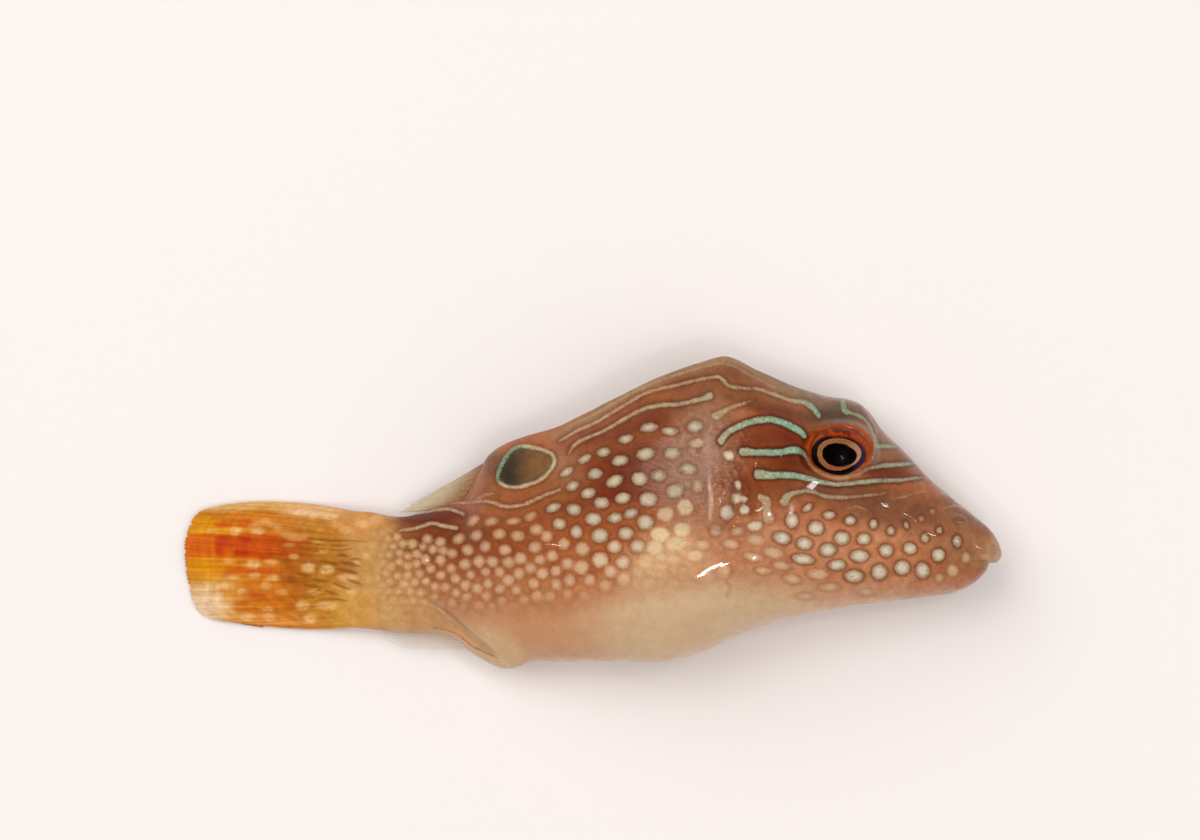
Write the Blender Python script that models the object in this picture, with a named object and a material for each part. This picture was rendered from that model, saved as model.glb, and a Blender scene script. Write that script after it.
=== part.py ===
"""A pearl toby, a small sharpnose puffer, laid on its left side as it would rest on a table.

The fish is drawn in its own frame first. A station is the distance behind the tip of the snout, a height is
the distance above the body's axis, towards the back, and a reach is the distance out from the middle plane,
positive on the right side. pose() lays that frame down: the head points to +X, the back to +Y, and the
right side faces up, to +Z. Lengths are in millimetres until to_metres() makes the last mesh.
"""

import math

import bmesh
import bpy
from mathutils import Matrix, Vector

# Driving sizes of the whole fish
TOTAL_LENGTH = 52.5
BACK_PEAK = 13.3
KEEL_DEPTH = 6.63
GAP = 0.3
LEFT_BASE_CLEARANCE = 0.1
FIN_THICKNESS = 0.5
RAY_RIDGE, RAY_TAPER = 0.16, 0.5
TIP_START, TIP_THINNING = 0.85, 0.35
MILLIMETRE = 0.001

# Where the head ends, just behind the gill slit, then the trunk and the tail stalk
HEAD_END = 17.0
TRUNK_START = HEAD_END + GAP
TRUNK_END = 35.9
STALK_START = TRUNK_END + GAP
STALK_END = 40.3
TAIL_FIN_START = STALK_END + GAP

# The side view: height of the back and of the belly at each station
BACK_LINE = [
    (0.0, 0.75), (0.12, 1.25), (0.4, 1.85), (0.9, 2.45), (1.5, 2.95), (2.9, 4.08), (4.7, 5.62),
    (6.3, 7.34), (7.6, 8.6), (8.4, 9.7), (9.1, 10.3), (9.9, 10.58), (11.1, 10.77), (13.0, 11.35),
    (15.6, 12.42), (17.66, BACK_PEAK), (19.5, 12.82), (22.0, 11.9), (25.9, 10.0), (28.4, 8.78),
    (31.0, 8.0), (32.6, 7.1), (33.4, 5.85), (34.2, 4.35), (35.5, 3.75), (38.0, 3.3), (STALK_END, 3.4),
]
BELLY_LINE = [
    (0.0, 0.75), (0.16, 0.34), (0.42, 0.16), (0.78, 0.18), (0.92, -0.1), (1.2, -0.58), (1.83, -1.15),
    (2.8, -1.63), (5.3, -2.05), (9.2, -2.5), (11.8, -2.95), (14.3, -3.5), (16.9, -4.4), (19.5, -5.58),
    (22.0, -6.12), (25.0, -6.06), (29.4, -6.08), (31.5, -KEEL_DEPTH), (33.5, -5.8), (34.8, -4.8),
    (36.0, -4.45), (STALK_END, -4.18),
]
# The view from above: half the body's width, and the middle plane's height over the table as it lies
HALF_WIDTH = [
    (0.0, 0.0), (0.15, 0.6), (0.5, 1.05), (1.0, 1.35), (2.0, 1.75), (4.0, 2.4), (6.5, 3.1), (9.0, 3.75),
    (12.0, 4.4), (16.0, 4.95), (20.0, 5.0), (25.0, 4.7), (29.0, 4.05), (32.0, 3.2), (34.5, 2.35),
    (37.0, 1.7), (STALK_END, 1.15),
]
MIDDLE_LIFT = [
    (0.0, 3.7), (4.0, 3.9), (9.0, 4.25), (14.0, 4.5), (20.0, 4.55), (25.0, 4.25), (29.0, 3.65),
    (32.0, 2.85), (34.5, 2.05), (37.0, 1.5), (TAIL_FIN_START, 1.2), (44.5, 0.33), (TOTAL_LENGTH, 0.33),
]
# The cross-section: where it is widest, as a share of its height, and how full it is above and below that
WIDEST_SHARE = [
    (0.0, 0.45), (2.0, 0.42), (6.0, 0.38), (16.0, 0.37), (24.0, 0.36), (31.0, 0.41), (STALK_END, 0.5),
]
BACK_FULLNESS = [
    (0.0, 2.0), (4.0, 1.8), (9.0, 2.3), (11.5, 2.0), (14.5, 1.2), (28.0, 1.1), (34.0, 1.5), (STALK_END, 2.0),
]
BELLY_FULLNESS = [
    (0.0, 2.0), (10.0, 2.2), (22.0, 2.2), (28.0, 1.8), (31.5, 1.15), (34.5, 1.5), (STALK_END, 2.0),
]
BELLY_POWER = 2.2

# The belly's skin ends in a fold behind the keel, and the base of the anal fin lies deeper behind it
FOLD_LINE = [(31.6, -6.55), (33.5, -5.1), (34.5, -4.25), (36.1, -2.9), (37.4, -2.2)]
FOLD_START, FOLD_FULL, FOLD_FADE, FOLD_END = 31.6, 32.6, 34.8, 37.0
FOLD_SOFTNESS = 0.45
STRIP_HALF_WIDTH = 0.75

# The head's features
EYE_STATION, EYE_HEIGHT, EYE_REACH = 10.4, 7.15, 2.4
EYE_RADII = (2.0, 1.8, 1.65)
EYE_TILT = math.radians(30)
CORNEA_BULGE = 0.14
LID_RADII = (2.42, 1.98)
LID_THICKNESS, LID_SUNK = 0.36, 0.12
BROW_RISE, BROW_LENGTH, BROW_HEIGHT = 0.45, 2.5, 2.1
LIP_RISE, LIP_STATION, LIP_HEIGHT, LIP_SIZE = 0.16, 0.75, 0.3, 0.55
MOUTH_HEIGHT, MOUTH_CORNER, MOUTH_OPENING, MOUTH_CORNER_HALF = 0.2, 1.75, 0.3, 0.03
NOSTRIL_STATION, NOSTRIL_HEIGHT = 2.92, 2.88
NOSTRIL_RADIUS, NOSTRIL_RIM, NOSTRIL_DEPTH = 0.26, 0.13, 0.5
GILL_TOP, GILL_BOTTOM = (16.55, 6.6), (16.4, 3.3)
GILL_BEND, GILL_WIDTH, GILL_DEPTH, GILL_TIP_SHARE = 0.45, 0.34, 0.9, 0.25

# Fins: how many rays, and the outline of each between its root and its edge, from the first ray to the last
TAIL_RAYS, BACK_RAYS, ANAL_RAYS, SIDE_RAYS = 11, 7, 7, 10
TAIL_ROOT_TOP, TAIL_ROOT_BOTTOM = 3.3, -4.05
TAIL_EDGE = [
    (47.6, 4.15), (50.0, 3.85), (51.7, 3.0), (52.35, 2.0), (TOTAL_LENGTH, 1.2), (52.45, 0.1), (52.15, -0.9),
    (51.85, -1.95), (51.35, -2.9), (49.9, -3.65), (47.6, -4.05),
]
BACK_FIN_ROOT = [(33.22, 6.82), (33.75, 5.85), (34.15, 5.0), (34.75, 4.47)]
BACK_FIN_EDGE = [(36.1, 4.75), (36.9, 4.4), (37.6, 3.98), (38.1, 3.66)]
ANAL_FIN_ROOT = [(34.0, -5.82), (34.6, -5.35), (35.1, -4.98), (35.7, -4.82)]
ANAL_FIN_EDGE = [(38.2, -5.45), (38.9, -5.25), (39.4, -4.95), (39.7, -4.58)]
SIDE_FIN_ROOT = [(18.75, 6.1), (18.72, 5.0), (18.75, 3.9), (18.85, 2.8)]
SIDE_FIN_EDGE = [
    (20.3, 7.6), (21.4, 8.25), (22.4, 7.7), (23.0, 6.4), (22.9, 4.9), (22.2, 3.5), (21.1, 2.6), (20.1, 2.3),
]
SIDE_FIN_OFF = 0.12
# The fleshy base that each side fin grows from: its middle, its half sizes, and its flat rear end
FIN_BASE_CENTRE, FIN_BASE_SIZE, FIN_BASE_END = (18.3, 4.45), (0.95, 2.15, 0.8), 18.42
POCKET_CENTRE, POCKET_SIZE, POCKET_DEPTH = (20.9, 5.4), (3.1, 4.2), 0.92

# Mesh density
QUARTER_STEPS = 11
HEAD_RINGS, TRUNK_RINGS, STALK_RINGS = 32, 25, 6
HEAD_RING_POWER, TRUNK_RING_POWER = 1.5, 1.12
RAY_PROFILE = [(0.0, 0.0), (0.34, 1.0), (0.66, 1.0)]

SKIN = ("skin", (0.52, 0.27, 0.15), 0.35)
TAIL = ("tail_fin", (0.86, 0.42, 0.08), 0.4)
MEMBRANE = ("fin_membrane", (0.74, 0.62, 0.42), 0.35)
EYE = ("eye", (0.03, 0.02, 0.02), 0.12)


def smooth(points):
    """A curve through the points that never overshoots. It runs on the square root of the station, which
    rounds the blunt tip of the snout."""
    keys = [math.sqrt(station) for station, value in points]
    values = [value for station, value in points]
    last = len(points) - 1
    slopes = [(values[i + 1] - values[i]) / (keys[i + 1] - keys[i]) for i in range(last)]
    tangents = [slopes[0]]
    for before, after in zip(slopes, slopes[1:]):
        tangents.append(2 * before * after / (before + after) if before * after > 0 else 0.0)
    tangents.append(slopes[-1])

    def value_at(station):
        key = min(max(math.sqrt(max(station, 0.0)), keys[0]), keys[-1])
        i = next((n for n in range(last) if key <= keys[n + 1]), last - 1)
        width = keys[i + 1] - keys[i]
        t = (key - keys[i]) / width
        return (
            values[i] * (1 + 2 * t) * (1 - t) ** 2
            + tangents[i] * width * t * (1 - t) ** 2
            + values[i + 1] * t * t * (3 - 2 * t)
            + tangents[i + 1] * width * t * t * (t - 1)
        )

    return value_at


def along(points, share):
    """The point at a share of the way along a smooth curve through the points."""
    place = share * (len(points) - 1)
    i = min(int(place), len(points) - 2)
    t = place - i
    before = points[max(i - 1, 0)]
    after = points[min(i + 2, len(points) - 1)]
    return tuple(
        0.5 * (
            2 * b + (c - a) * t + (2 * a - 5 * b + 4 * c - d) * t * t + (3 * b - a - 3 * c + d) * t ** 3
        )
        for a, b, c, d in zip(before, points[i], points[i + 1], after)
    )


def ease(x):
    """0 below 0, 1 above 1, and a smooth step between them."""
    x = min(max(x, 0.0), 1.0)
    return x * x * (3 - 2 * x)


def bell(x):
    return math.exp(-x * x)


back_line = smooth(BACK_LINE)
belly_line = smooth(BELLY_LINE)
half_width = smooth(HALF_WIDTH)
middle_lift = smooth(MIDDLE_LIFT)
widest_share = smooth(WIDEST_SHARE)
back_fullness = smooth(BACK_FULLNESS)
belly_fullness = smooth(BELLY_FULLNESS)
fold_line = smooth(FOLD_LINE)


def reach(station, height):
    """How far the skin stands out from the middle plane at a station and height."""
    low, high = belly_line(station), back_line(station)
    widest = low + (high - low) * widest_share(station)
    if height >= widest:
        share = min((height - widest) / max(high - widest, 1e-6), 1.0)
        full = (1 - share * share) ** (1 / back_fullness(station))
    else:
        share = min((widest - height) / max(widest - low, 1e-6), 1.0)
        full = (1 - share ** BELLY_POWER) ** (1 / belly_fullness(station))
    brow = BROW_RISE * bell((station - EYE_STATION) / BROW_LENGTH)
    brow *= bell((height - EYE_HEIGHT) / BROW_HEIGHT)
    lip = LIP_RISE * bell((station - LIP_STATION) / LIP_SIZE) * bell((height - LIP_HEIGHT) / LIP_SIZE)
    out = half_width(station) * full + (brow + lip) * math.sqrt(full)
    if FOLD_START < station < FOLD_END and out > STRIP_HALF_WIDTH:
        deep = ease((station - FOLD_START) / (FOLD_FULL - FOLD_START))
        deep *= ease((FOLD_END - station) / (FOLD_END - FOLD_FADE))
        outside = ease((height - fold_line(station)) / FOLD_SOFTNESS)
        strip = STRIP_HALF_WIDTH * math.sqrt(full)
        out = out + (strip - out) * deep * (1 - outside)
    return out


def table_under(station, height):
    """The level that the left side is pressed up to: the table, or the folded left side fin on it."""
    across = (station - POCKET_CENTRE[0]) / POCKET_SIZE[0]
    up = (height - POCKET_CENTRE[1]) / POCKET_SIZE[1]
    return POCKET_DEPTH * ease(2.6 * (1.25 - math.hypot(across, up)))


def pose(station, height, lateral):
    """A point of the fish's own frame, laid down on the table."""
    up = middle_lift(station) + lateral
    return Vector((TOTAL_LENGTH / 2 - station, height - (BACK_PEAK - KEEL_DEPTH) / 2, up))


def skin_point(station, height, side):
    """The skin's point on one side, +1 for the right and -1 for the left, pressed flat where it rests."""
    point = pose(station, height, side * reach(station, height))
    if side < 0:
        point.z = max(point.z, table_under(station, height))
    return point


def ring(station):
    """The cross-section at a station, from the belly up the right side and down the left."""
    low, high = belly_line(station), back_line(station)
    widest = low + (high - low) * widest_share(station)
    heights = []
    for i in range(QUARTER_STEPS):
        turn = math.pi / 2 * i / QUARTER_STEPS
        heights.append(widest - (widest - low) * math.cos(turn) ** (2 / BELLY_POWER))
    for i in range(QUARTER_STEPS + 1):
        heights.append(widest + (high - widest) * math.sin(math.pi / 2 * i / QUARTER_STEPS))
    right = [skin_point(station, height, 1) for height in heights]
    left = [skin_point(station, height, -1) for height in heights[1:-1]]
    return right + left[::-1]


def new_object(name, bm, finish):
    """A named object in metres, with its own material."""
    bmesh.ops.recalc_face_normals(bm, faces=bm.faces)
    bmesh.ops.scale(bm, vec=(MILLIMETRE,) * 3, verts=bm.verts)
    mesh = bpy.data.meshes.new(name)
    bm.to_mesh(mesh)
    bm.free()
    mesh.shade_smooth()
    mesh.set_sharp_from_angle(angle=math.radians(40))
    label, colour, roughness = finish
    material = bpy.data.materials.new(f"{label}_{name}")
    material.use_nodes = True
    shader = material.node_tree.nodes["Principled BSDF"]
    shader.inputs["Base Color"].default_value = (*colour, 1)
    shader.inputs["Roughness"].default_value = roughness
    shader.inputs["Metallic"].default_value = 0.0
    mesh.materials.append(material)
    made = bpy.data.objects.new(name, mesh)
    bpy.context.scene.collection.objects.link(made)
    return made


def body_length(name, stations):
    """One closed length of the body, with a flat cap at each end that isn't the tip of the snout."""
    bm = bmesh.new()
    rings = [[bm.verts.new(point) for point in ring(station)] for station in stations if station > 0]
    count = len(rings[0])
    for near, far in zip(rings, rings[1:]):
        for i in range(count):
            j = (i + 1) % count
            bm.faces.new((near[i], near[j], far[j], far[i]))
    if stations[0] == 0:
        tip = bm.verts.new(pose(0, BACK_LINE[0][1], 0))
        for i in range(count):
            bm.faces.new((tip, rings[0][(i + 1) % count], rings[0][i]))
    else:
        bm.faces.new(rings[0][::-1])
    bm.faces.new(rings[-1])
    return new_object(name, bm, SKIN)


def spread(start, end, count, power=1.0):
    """Stations from start to end. A power over 1 sets them closer together at the start."""
    return [start + (end - start) * (i / count) ** power for i in range(count + 1)]


def eye_frame(side):
    """Places a shape made round the origin, looking along +Z, in the eye socket of one side."""
    look = Vector((0, math.sin(EYE_TILT), side * math.cos(EYE_TILT)))
    forward = Vector((1, 0, 0))
    turn = Matrix((forward, look.cross(forward), look)).transposed().to_4x4()
    return Matrix.Translation(pose(EYE_STATION, EYE_HEIGHT, side * EYE_REACH)) @ turn


def eyeball(name, side, grow=0.0, segments=20, rings=12):
    """The eyeball, with its cornea standing out a little, or its socket where it grows."""
    bm = bmesh.new()
    bmesh.ops.create_uvsphere(bm, u_segments=segments, v_segments=rings, radius=1.0)
    for vertex in bm.verts:
        cornea = CORNEA_BULGE * bell(math.hypot(vertex.co.x, vertex.co.y) / 0.6) if vertex.co.z > 0 else 0.0
        for axis in range(3):
            vertex.co[axis] *= EYE_RADII[axis] + grow
        vertex.co.z += cornea
    bmesh.ops.transform(bm, matrix=eye_frame(side), verts=bm.verts)
    return new_object(name, bm, EYE)


def lid(name, side, segments=24, sides=6):
    """The ring of skin round the eye, fused to the head before the socket is cut."""
    bm = bmesh.new()
    loops = []
    for i in range(segments):
        turn = 2 * math.pi * i / segments
        across, up = math.cos(turn), math.sin(turn)
        frame = skin_frame(EYE_STATION + LID_RADII[0] * across, EYE_HEIGHT + LID_RADII[1] * up, side)
        out = frame.to_3x3() @ Vector((0, 0, 1))
        aside = Vector((up, across, 0)).cross(out).normalized()
        hub = frame.translation - out * LID_SUNK
        loop = []
        for j in range(sides):
            roll = 2 * math.pi * j / sides
            point = hub + (aside * math.cos(roll) + out * math.sin(roll)) * LID_THICKNESS
            point.z = max(point.z, 0)
            loop.append(bm.verts.new(point))
        loops.append(loop)
    for near, far in zip(loops, loops[1:] + loops[:1]):
        for j in range(sides):
            k = (j + 1) % sides
            bm.faces.new((near[j], near[k], far[k], far[j]))
    return new_object(name, bm, SKIN)


def skin_frame(station, height, side):
    """Places a shape made round the origin on the skin, with +Z pointing out of it."""
    here = skin_point(station, height, side)
    ahead = skin_point(station - 0.1, height, side) - here
    above = skin_point(station, height + 0.1, side) - here
    out = ahead.cross(above).normalized() * side
    ahead.normalize()
    turn = Matrix((ahead, out.cross(ahead), out)).transposed().to_4x4()
    return Matrix.Translation(here) @ turn


def round_plug(name, side, radius, low, high):
    """A short round plug across the skin at the nostril: its raised rim, or the hole in it."""
    bm = bmesh.new()
    bmesh.ops.create_cone(
        bm, cap_ends=True, segments=10, radius1=radius, radius2=0.8 * radius, depth=high - low
    )
    bmesh.ops.translate(bm, vec=(0, 0, (low + high) / 2), verts=bm.verts)
    bmesh.ops.transform(bm, matrix=skin_frame(NOSTRIL_STATION, NOSTRIL_HEIGHT, side), verts=bm.verts)
    return new_object(name, bm, SKIN)


def gill_cutter(name, side, steps=8):
    """The curved slit of the gill opening, sunk into the rear of the head."""
    bm = bmesh.new()
    loops = []
    for i in range(steps + 1):
        share = i / steps
        station = GILL_TOP[0] + (GILL_BOTTOM[0] - GILL_TOP[0]) * share
        station -= GILL_BEND * math.sin(math.pi * share)
        height = GILL_TOP[1] + (GILL_BOTTOM[1] - GILL_TOP[1]) * share
        half = GILL_WIDTH / 2 * (GILL_TIP_SHARE + (1 - GILL_TIP_SHARE) * math.sin(math.pi * share))
        out = skin_point(station, height, side).z
        loop = []
        for offset, depth in ((-half, 1.0), (half, 1.0), (half, -GILL_DEPTH), (-half, -GILL_DEPTH)):
            point = pose(station + offset, height, 0)
            point.z = out + side * depth
            loop.append(bm.verts.new(point))
        loops.append(loop)
    for near, far in zip(loops, loops[1:]):
        for j in range(4):
            k = (j + 1) % 4
            bm.faces.new((near[j], near[k], far[k], far[j]))
    bm.faces.new(loops[0][::-1])
    bm.faces.new(loops[-1])
    return new_object(name, bm, SKIN)


def fin_base(name, side):
    """The fleshy base of a side fin, flat behind, fused to the trunk."""
    bm = bmesh.new()
    bmesh.ops.create_uvsphere(bm, u_segments=16, v_segments=10, radius=1.0)
    surface = skin_point(*FIN_BASE_CENTRE, side)
    middle = pose(*FIN_BASE_CENTRE, 0)
    for vertex in bm.verts:
        vertex.co.x = middle.x + vertex.co.x * FIN_BASE_SIZE[0]
        vertex.co.y = middle.y + vertex.co.y * FIN_BASE_SIZE[1]
        vertex.co.z = max(surface.z + vertex.co.z * FIN_BASE_SIZE[2], LEFT_BASE_CLEARANCE)
    rear = pose(FIN_BASE_END, 0, 0)
    cut = bmesh.ops.bisect_plane(
        bm, geom=[*bm.verts, *bm.edges, *bm.faces], plane_co=rear, plane_no=(-1, 0, 0), clear_outer=True
    )
    rim = [piece for piece in cut["geom_cut"] if isinstance(piece, bmesh.types.BMEdge)]
    bmesh.ops.edgenet_fill(bm, edges=rim)
    return new_object(name, bm, SKIN)


def mouth_cutter(name):
    """A thin wedge across the snout, open in front and closing at the corner of the mouth."""
    bm = bmesh.new()
    half = MOUTH_OPENING / 2
    upper = [(-1.0, half), (MOUTH_CORNER / 2, half), (MOUTH_CORNER, MOUTH_CORNER_HALF)]
    outline = upper + [(station, -rise) for station, rise in reversed(upper)]
    walls = []
    for lateral in (-HALF_WIDTH[6][1], HALF_WIDTH[6][1]):
        wall = []
        for station, rise in outline:
            point = pose(0, MOUTH_HEIGHT + rise, lateral)
            point.x -= station
            wall.append(bm.verts.new(point))
        walls.append(wall)
    for i in range(len(outline)):
        j = (i + 1) % len(outline)
        bm.faces.new((walls[0][i], walls[0][j], walls[1][j], walls[1][i]))
    bm.faces.new(walls[0][::-1])
    bm.faces.new(walls[1])
    return new_object(name, bm, SKIN)


def combine(target, others, operation):
    """Joins the others to the target, or cuts them from it, with one Boolean on their collection."""
    group = bpy.data.collections.new(f"{target.name}_{operation.lower()}")
    bpy.context.scene.collection.children.link(group)
    for other in others:
        bpy.context.scene.collection.objects.unlink(other)
        group.objects.link(other)
    modifier = target.modifiers.new(operation.title(), "BOOLEAN")
    modifier.operation = operation
    modifier.operand_type = "COLLECTION"
    modifier.collection = group
    modifier.solver = "EXACT"
    bpy.context.view_layer.objects.active = target
    bpy.ops.object.modifier_apply(modifier=modifier.name)
    for other in others:
        bpy.data.objects.remove(other)
    bpy.data.collections.remove(group)


def keep_largest(target):
    """Keeps the target's largest connected surface, which drops any scrap that a cut leaves."""
    bm = bmesh.new()
    bm.from_mesh(target.data)
    unseen = set(bm.verts)
    shells = []
    while unseen:
        shell, edge = set(), [unseen.pop()]
        while edge:
            vertex = edge.pop()
            shell.add(vertex)
            near = {e.other_vert(vertex) for e in vertex.link_edges} & unseen
            unseen -= near
            edge.extend(near)
        shells.append(shell)
    shells.sort(key=len)
    bmesh.ops.delete(bm, geom=[v for shell in shells[:-1] for v in shell], context="VERTS")
    bm.to_mesh(target.data)
    bm.free()


def fin(name, root, edge, rays, surface, finish, rows=6):
    """A fin between its root and its edge. surface(station, height, share_out) gives the middle of its
    thickness, and each ray is a ridge raised in both faces. The faces are split into triangles alike."""
    bm = bmesh.new()
    columns = [((ray + place) / rays, rise) for ray in range(rays) for place, rise in RAY_PROFILE]
    columns.append((1.0, 0.0))
    upper, lower = [], []
    for i in range(rows + 1):
        share_out = i / rows
        upper_row, lower_row = [], []
        for across, rise in columns:
            inner, outer = along(root, across), along(edge, across)
            station = inner[0] + (outer[0] - inner[0]) * share_out
            height = inner[1] + (outer[1] - inner[1]) * share_out
            ridge = RAY_RIDGE * rise * (1 - RAY_TAPER * share_out)
            thin_tip = 1 - TIP_THINNING * ease((share_out - TIP_START) / (1 - TIP_START))
            half = (FIN_THICKNESS / 2 + ridge) * thin_tip
            middle = surface(station, height, share_out)
            upper_row.append(bm.verts.new(middle + Vector((0, 0, half))))
            lower_row.append(bm.verts.new(middle - Vector((0, 0, min(half, middle.z)))))
        upper.append(upper_row)
        lower.append(lower_row)

    def strip(a, b, c, d):
        bm.faces.new((a, b, c))
        bm.faces.new((a, c, d))

    for i in range(rows):
        for j in range(len(columns) - 1):
            for face in (upper, lower):
                strip(face[i][j], face[i + 1][j], face[i + 1][j + 1], face[i][j + 1])
        for j in (0, len(columns) - 1):
            strip(upper[i][j], upper[i + 1][j], lower[i + 1][j], lower[i][j])
    for j in range(len(columns) - 1):
        for i in (0, rows):
            strip(upper[i][j], upper[i][j + 1], lower[i][j + 1], lower[i][j])
    return new_object(name, bm, finish)


def tail_fin_surface(station, height, share_out):
    return pose(station, height, 0)


def middle_fin_surface(station, height, share_out):
    """A back or belly fin grows from the middle plane and sinks a little towards the table."""
    point = pose(station, height, 0)
    point.z = max(point.z * (1 - 0.25 * share_out), FIN_THICKNESS)
    return point


def right_fin_surface(station, height, share_out):
    """The right side fin lies back along the flank, just clear of it."""
    point = skin_point(station, height, 1)
    point.z += SIDE_FIN_OFF + FIN_THICKNESS / 2 + RAY_RIDGE
    return point


def left_fin_surface(station, height, share_out):
    """The left side fin is folded flat between the flank and the table."""
    point = pose(station, height, 0)
    point.z = FIN_THICKNESS / 2
    return point


def build_head():
    """The head, with lids, lips, nostrils and gill slits, and the sockets that the eyes sit in."""
    head = body_length("head", spread(0, HEAD_END, HEAD_RINGS, HEAD_RING_POWER))
    raised, cut = [], [mouth_cutter("mouth_cutter")]
    for label, side in (("right", 1), ("left", -1)):
        raised.append(lid(f"lid_{label}", side))
        raised.append(round_plug(f"nostril_rim_{label}", side, NOSTRIL_RADIUS + NOSTRIL_RIM, -0.4, 0.14))
        cut.append(eyeball(f"socket_{label}", side, GAP))
        cut.append(round_plug(f"nostril_hole_{label}", side, NOSTRIL_RADIUS, -NOSTRIL_DEPTH, 0.6))
        cut.append(gill_cutter(f"gill_cutter_{label}", side))
    combine(head, raised, "UNION")
    combine(head, cut, "DIFFERENCE")
    keep_largest(head)
    return head


def build_trunk():
    """The trunk, with the fleshy base of each side fin."""
    trunk = body_length("trunk", spread(TRUNK_START, TRUNK_END, TRUNK_RINGS, TRUNK_RING_POWER))
    combine(trunk, [fin_base("fin_base_right", 1), fin_base("fin_base_left", -1)], "UNION")
    keep_largest(trunk)
    return trunk


def build_fish():
    for old in list(bpy.data.objects):
        bpy.data.objects.remove(old)
    build_head()
    build_trunk()
    body_length("tail_stalk", spread(STALK_START, STALK_END, STALK_RINGS))
    tail_root = [
        (TAIL_FIN_START, TAIL_ROOT_TOP + (TAIL_ROOT_BOTTOM - TAIL_ROOT_TOP) * i / 4) for i in range(5)
    ]
    fin("tail_fin", tail_root, TAIL_EDGE, TAIL_RAYS, tail_fin_surface, TAIL, rows=9)
    fin("dorsal_fin", BACK_FIN_ROOT, BACK_FIN_EDGE, BACK_RAYS, middle_fin_surface, MEMBRANE)
    fin("anal_fin", ANAL_FIN_ROOT, ANAL_FIN_EDGE, ANAL_RAYS, middle_fin_surface, MEMBRANE)
    for label, side, surface in (("right", 1, right_fin_surface), ("left", -1, left_fin_surface)):
        fin(f"pectoral_fin_{label}", SIDE_FIN_ROOT, SIDE_FIN_EDGE, SIDE_RAYS, surface, MEMBRANE)
        eyeball(f"eye_{label}", side)


build_fish()
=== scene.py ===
# %% [markdown]
# # A pearl toby, laid on its side
# The real thing is a small puffer, about 5 cm long, photographed from straight above as it lay wet on its
# left side. One skin covers the head, the trunk and the tail stalk with no seam. The eyes, the beak and the
# five fins are pieces of their own. Everything is in metres, in the frame that the solids were made in, but
# the helpers here think in millimetres, which suit so small a fish.

# %% Load the solids as the frame
import math

import bpy
import numpy as np
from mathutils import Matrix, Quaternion, Vector


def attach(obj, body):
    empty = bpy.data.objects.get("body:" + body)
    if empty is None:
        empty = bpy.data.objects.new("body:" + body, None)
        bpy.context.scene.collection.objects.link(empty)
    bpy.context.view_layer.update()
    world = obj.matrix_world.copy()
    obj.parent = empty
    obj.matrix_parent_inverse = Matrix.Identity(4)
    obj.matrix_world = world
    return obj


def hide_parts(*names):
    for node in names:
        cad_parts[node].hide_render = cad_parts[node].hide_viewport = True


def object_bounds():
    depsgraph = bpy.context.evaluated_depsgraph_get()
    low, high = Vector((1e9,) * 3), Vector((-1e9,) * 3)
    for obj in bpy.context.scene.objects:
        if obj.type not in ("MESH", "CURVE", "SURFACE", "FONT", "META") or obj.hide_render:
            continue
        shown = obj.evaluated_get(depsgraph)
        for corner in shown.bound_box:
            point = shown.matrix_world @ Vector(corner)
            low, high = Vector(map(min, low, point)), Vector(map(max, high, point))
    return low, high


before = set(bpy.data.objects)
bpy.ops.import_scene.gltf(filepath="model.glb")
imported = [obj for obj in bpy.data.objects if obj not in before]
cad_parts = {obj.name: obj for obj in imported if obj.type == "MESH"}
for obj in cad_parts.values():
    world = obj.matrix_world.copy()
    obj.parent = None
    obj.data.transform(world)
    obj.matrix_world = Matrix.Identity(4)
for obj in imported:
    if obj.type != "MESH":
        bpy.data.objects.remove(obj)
solid_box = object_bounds()
MM = 0.001
solid_low, solid_high = np.array(solid_box) / MM
print("the solids reach", [tuple(round(v / MM, 2) for v in corner) for corner in solid_box])

# %% [markdown]
# ## The fish's own measures
# A station is the distance behind the tip of the snout, a height is the distance above the body's axis, and
# a reach is the distance out from the middle plane. The side view, the view from above and the cross-section
# are short lists with a curve through them, the same ones that the solids have, so the skin lies where the
# solids lie. Only the last stretch differs: the skin thins out over the root of the tail fin, as flesh does.

# %% Side view, view from above and cross-section
TOTAL_LENGTH, BACK_PEAK, KEEL_DEPTH = 52.5, 13.3, 6.63
STALK_END, SKIN_END, TAIL_FIN_START = 40.3, 43.8, 40.6
BACK_LINE = [
    (0.0, 0.75), (0.12, 1.25), (0.4, 1.85), (0.9, 2.45), (1.5, 2.95), (2.9, 4.08), (4.7, 5.62),
    (6.3, 7.34), (7.6, 8.6), (8.4, 9.7), (9.1, 10.3), (9.9, 10.58), (11.1, 10.77), (13.0, 11.35),
    (15.6, 12.42), (17.66, BACK_PEAK), (19.5, 12.82), (22.0, 11.9), (25.9, 10.0), (28.4, 8.78),
    (31.0, 8.0), (32.6, 7.1), (33.4, 5.85), (34.2, 4.35), (35.5, 3.75), (36.8, 3.38), (38.4, 3.02),
    (39.6, 3.2), (STALK_END, 3.34), (42.0, 3.4), (SKIN_END, 3.4),
]
BELLY_LINE = [
    (0.0, 0.75), (0.16, 0.34), (0.42, 0.16), (0.78, 0.18), (0.92, -0.1), (1.2, -0.58), (1.83, -1.15),
    (2.8, -1.63), (5.3, -2.05), (9.2, -2.5), (11.8, -2.95), (14.3, -3.5), (16.9, -4.4), (19.5, -5.58),
    (22.0, -6.12), (25.0, -6.06), (29.4, -6.08), (31.5, -KEEL_DEPTH), (33.5, -5.8), (34.8, -4.8),
    (36.0, -4.5), (38.4, -4.4), (STALK_END, -4.2), (42.0, -4.06), (SKIN_END, -3.95),
]
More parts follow.
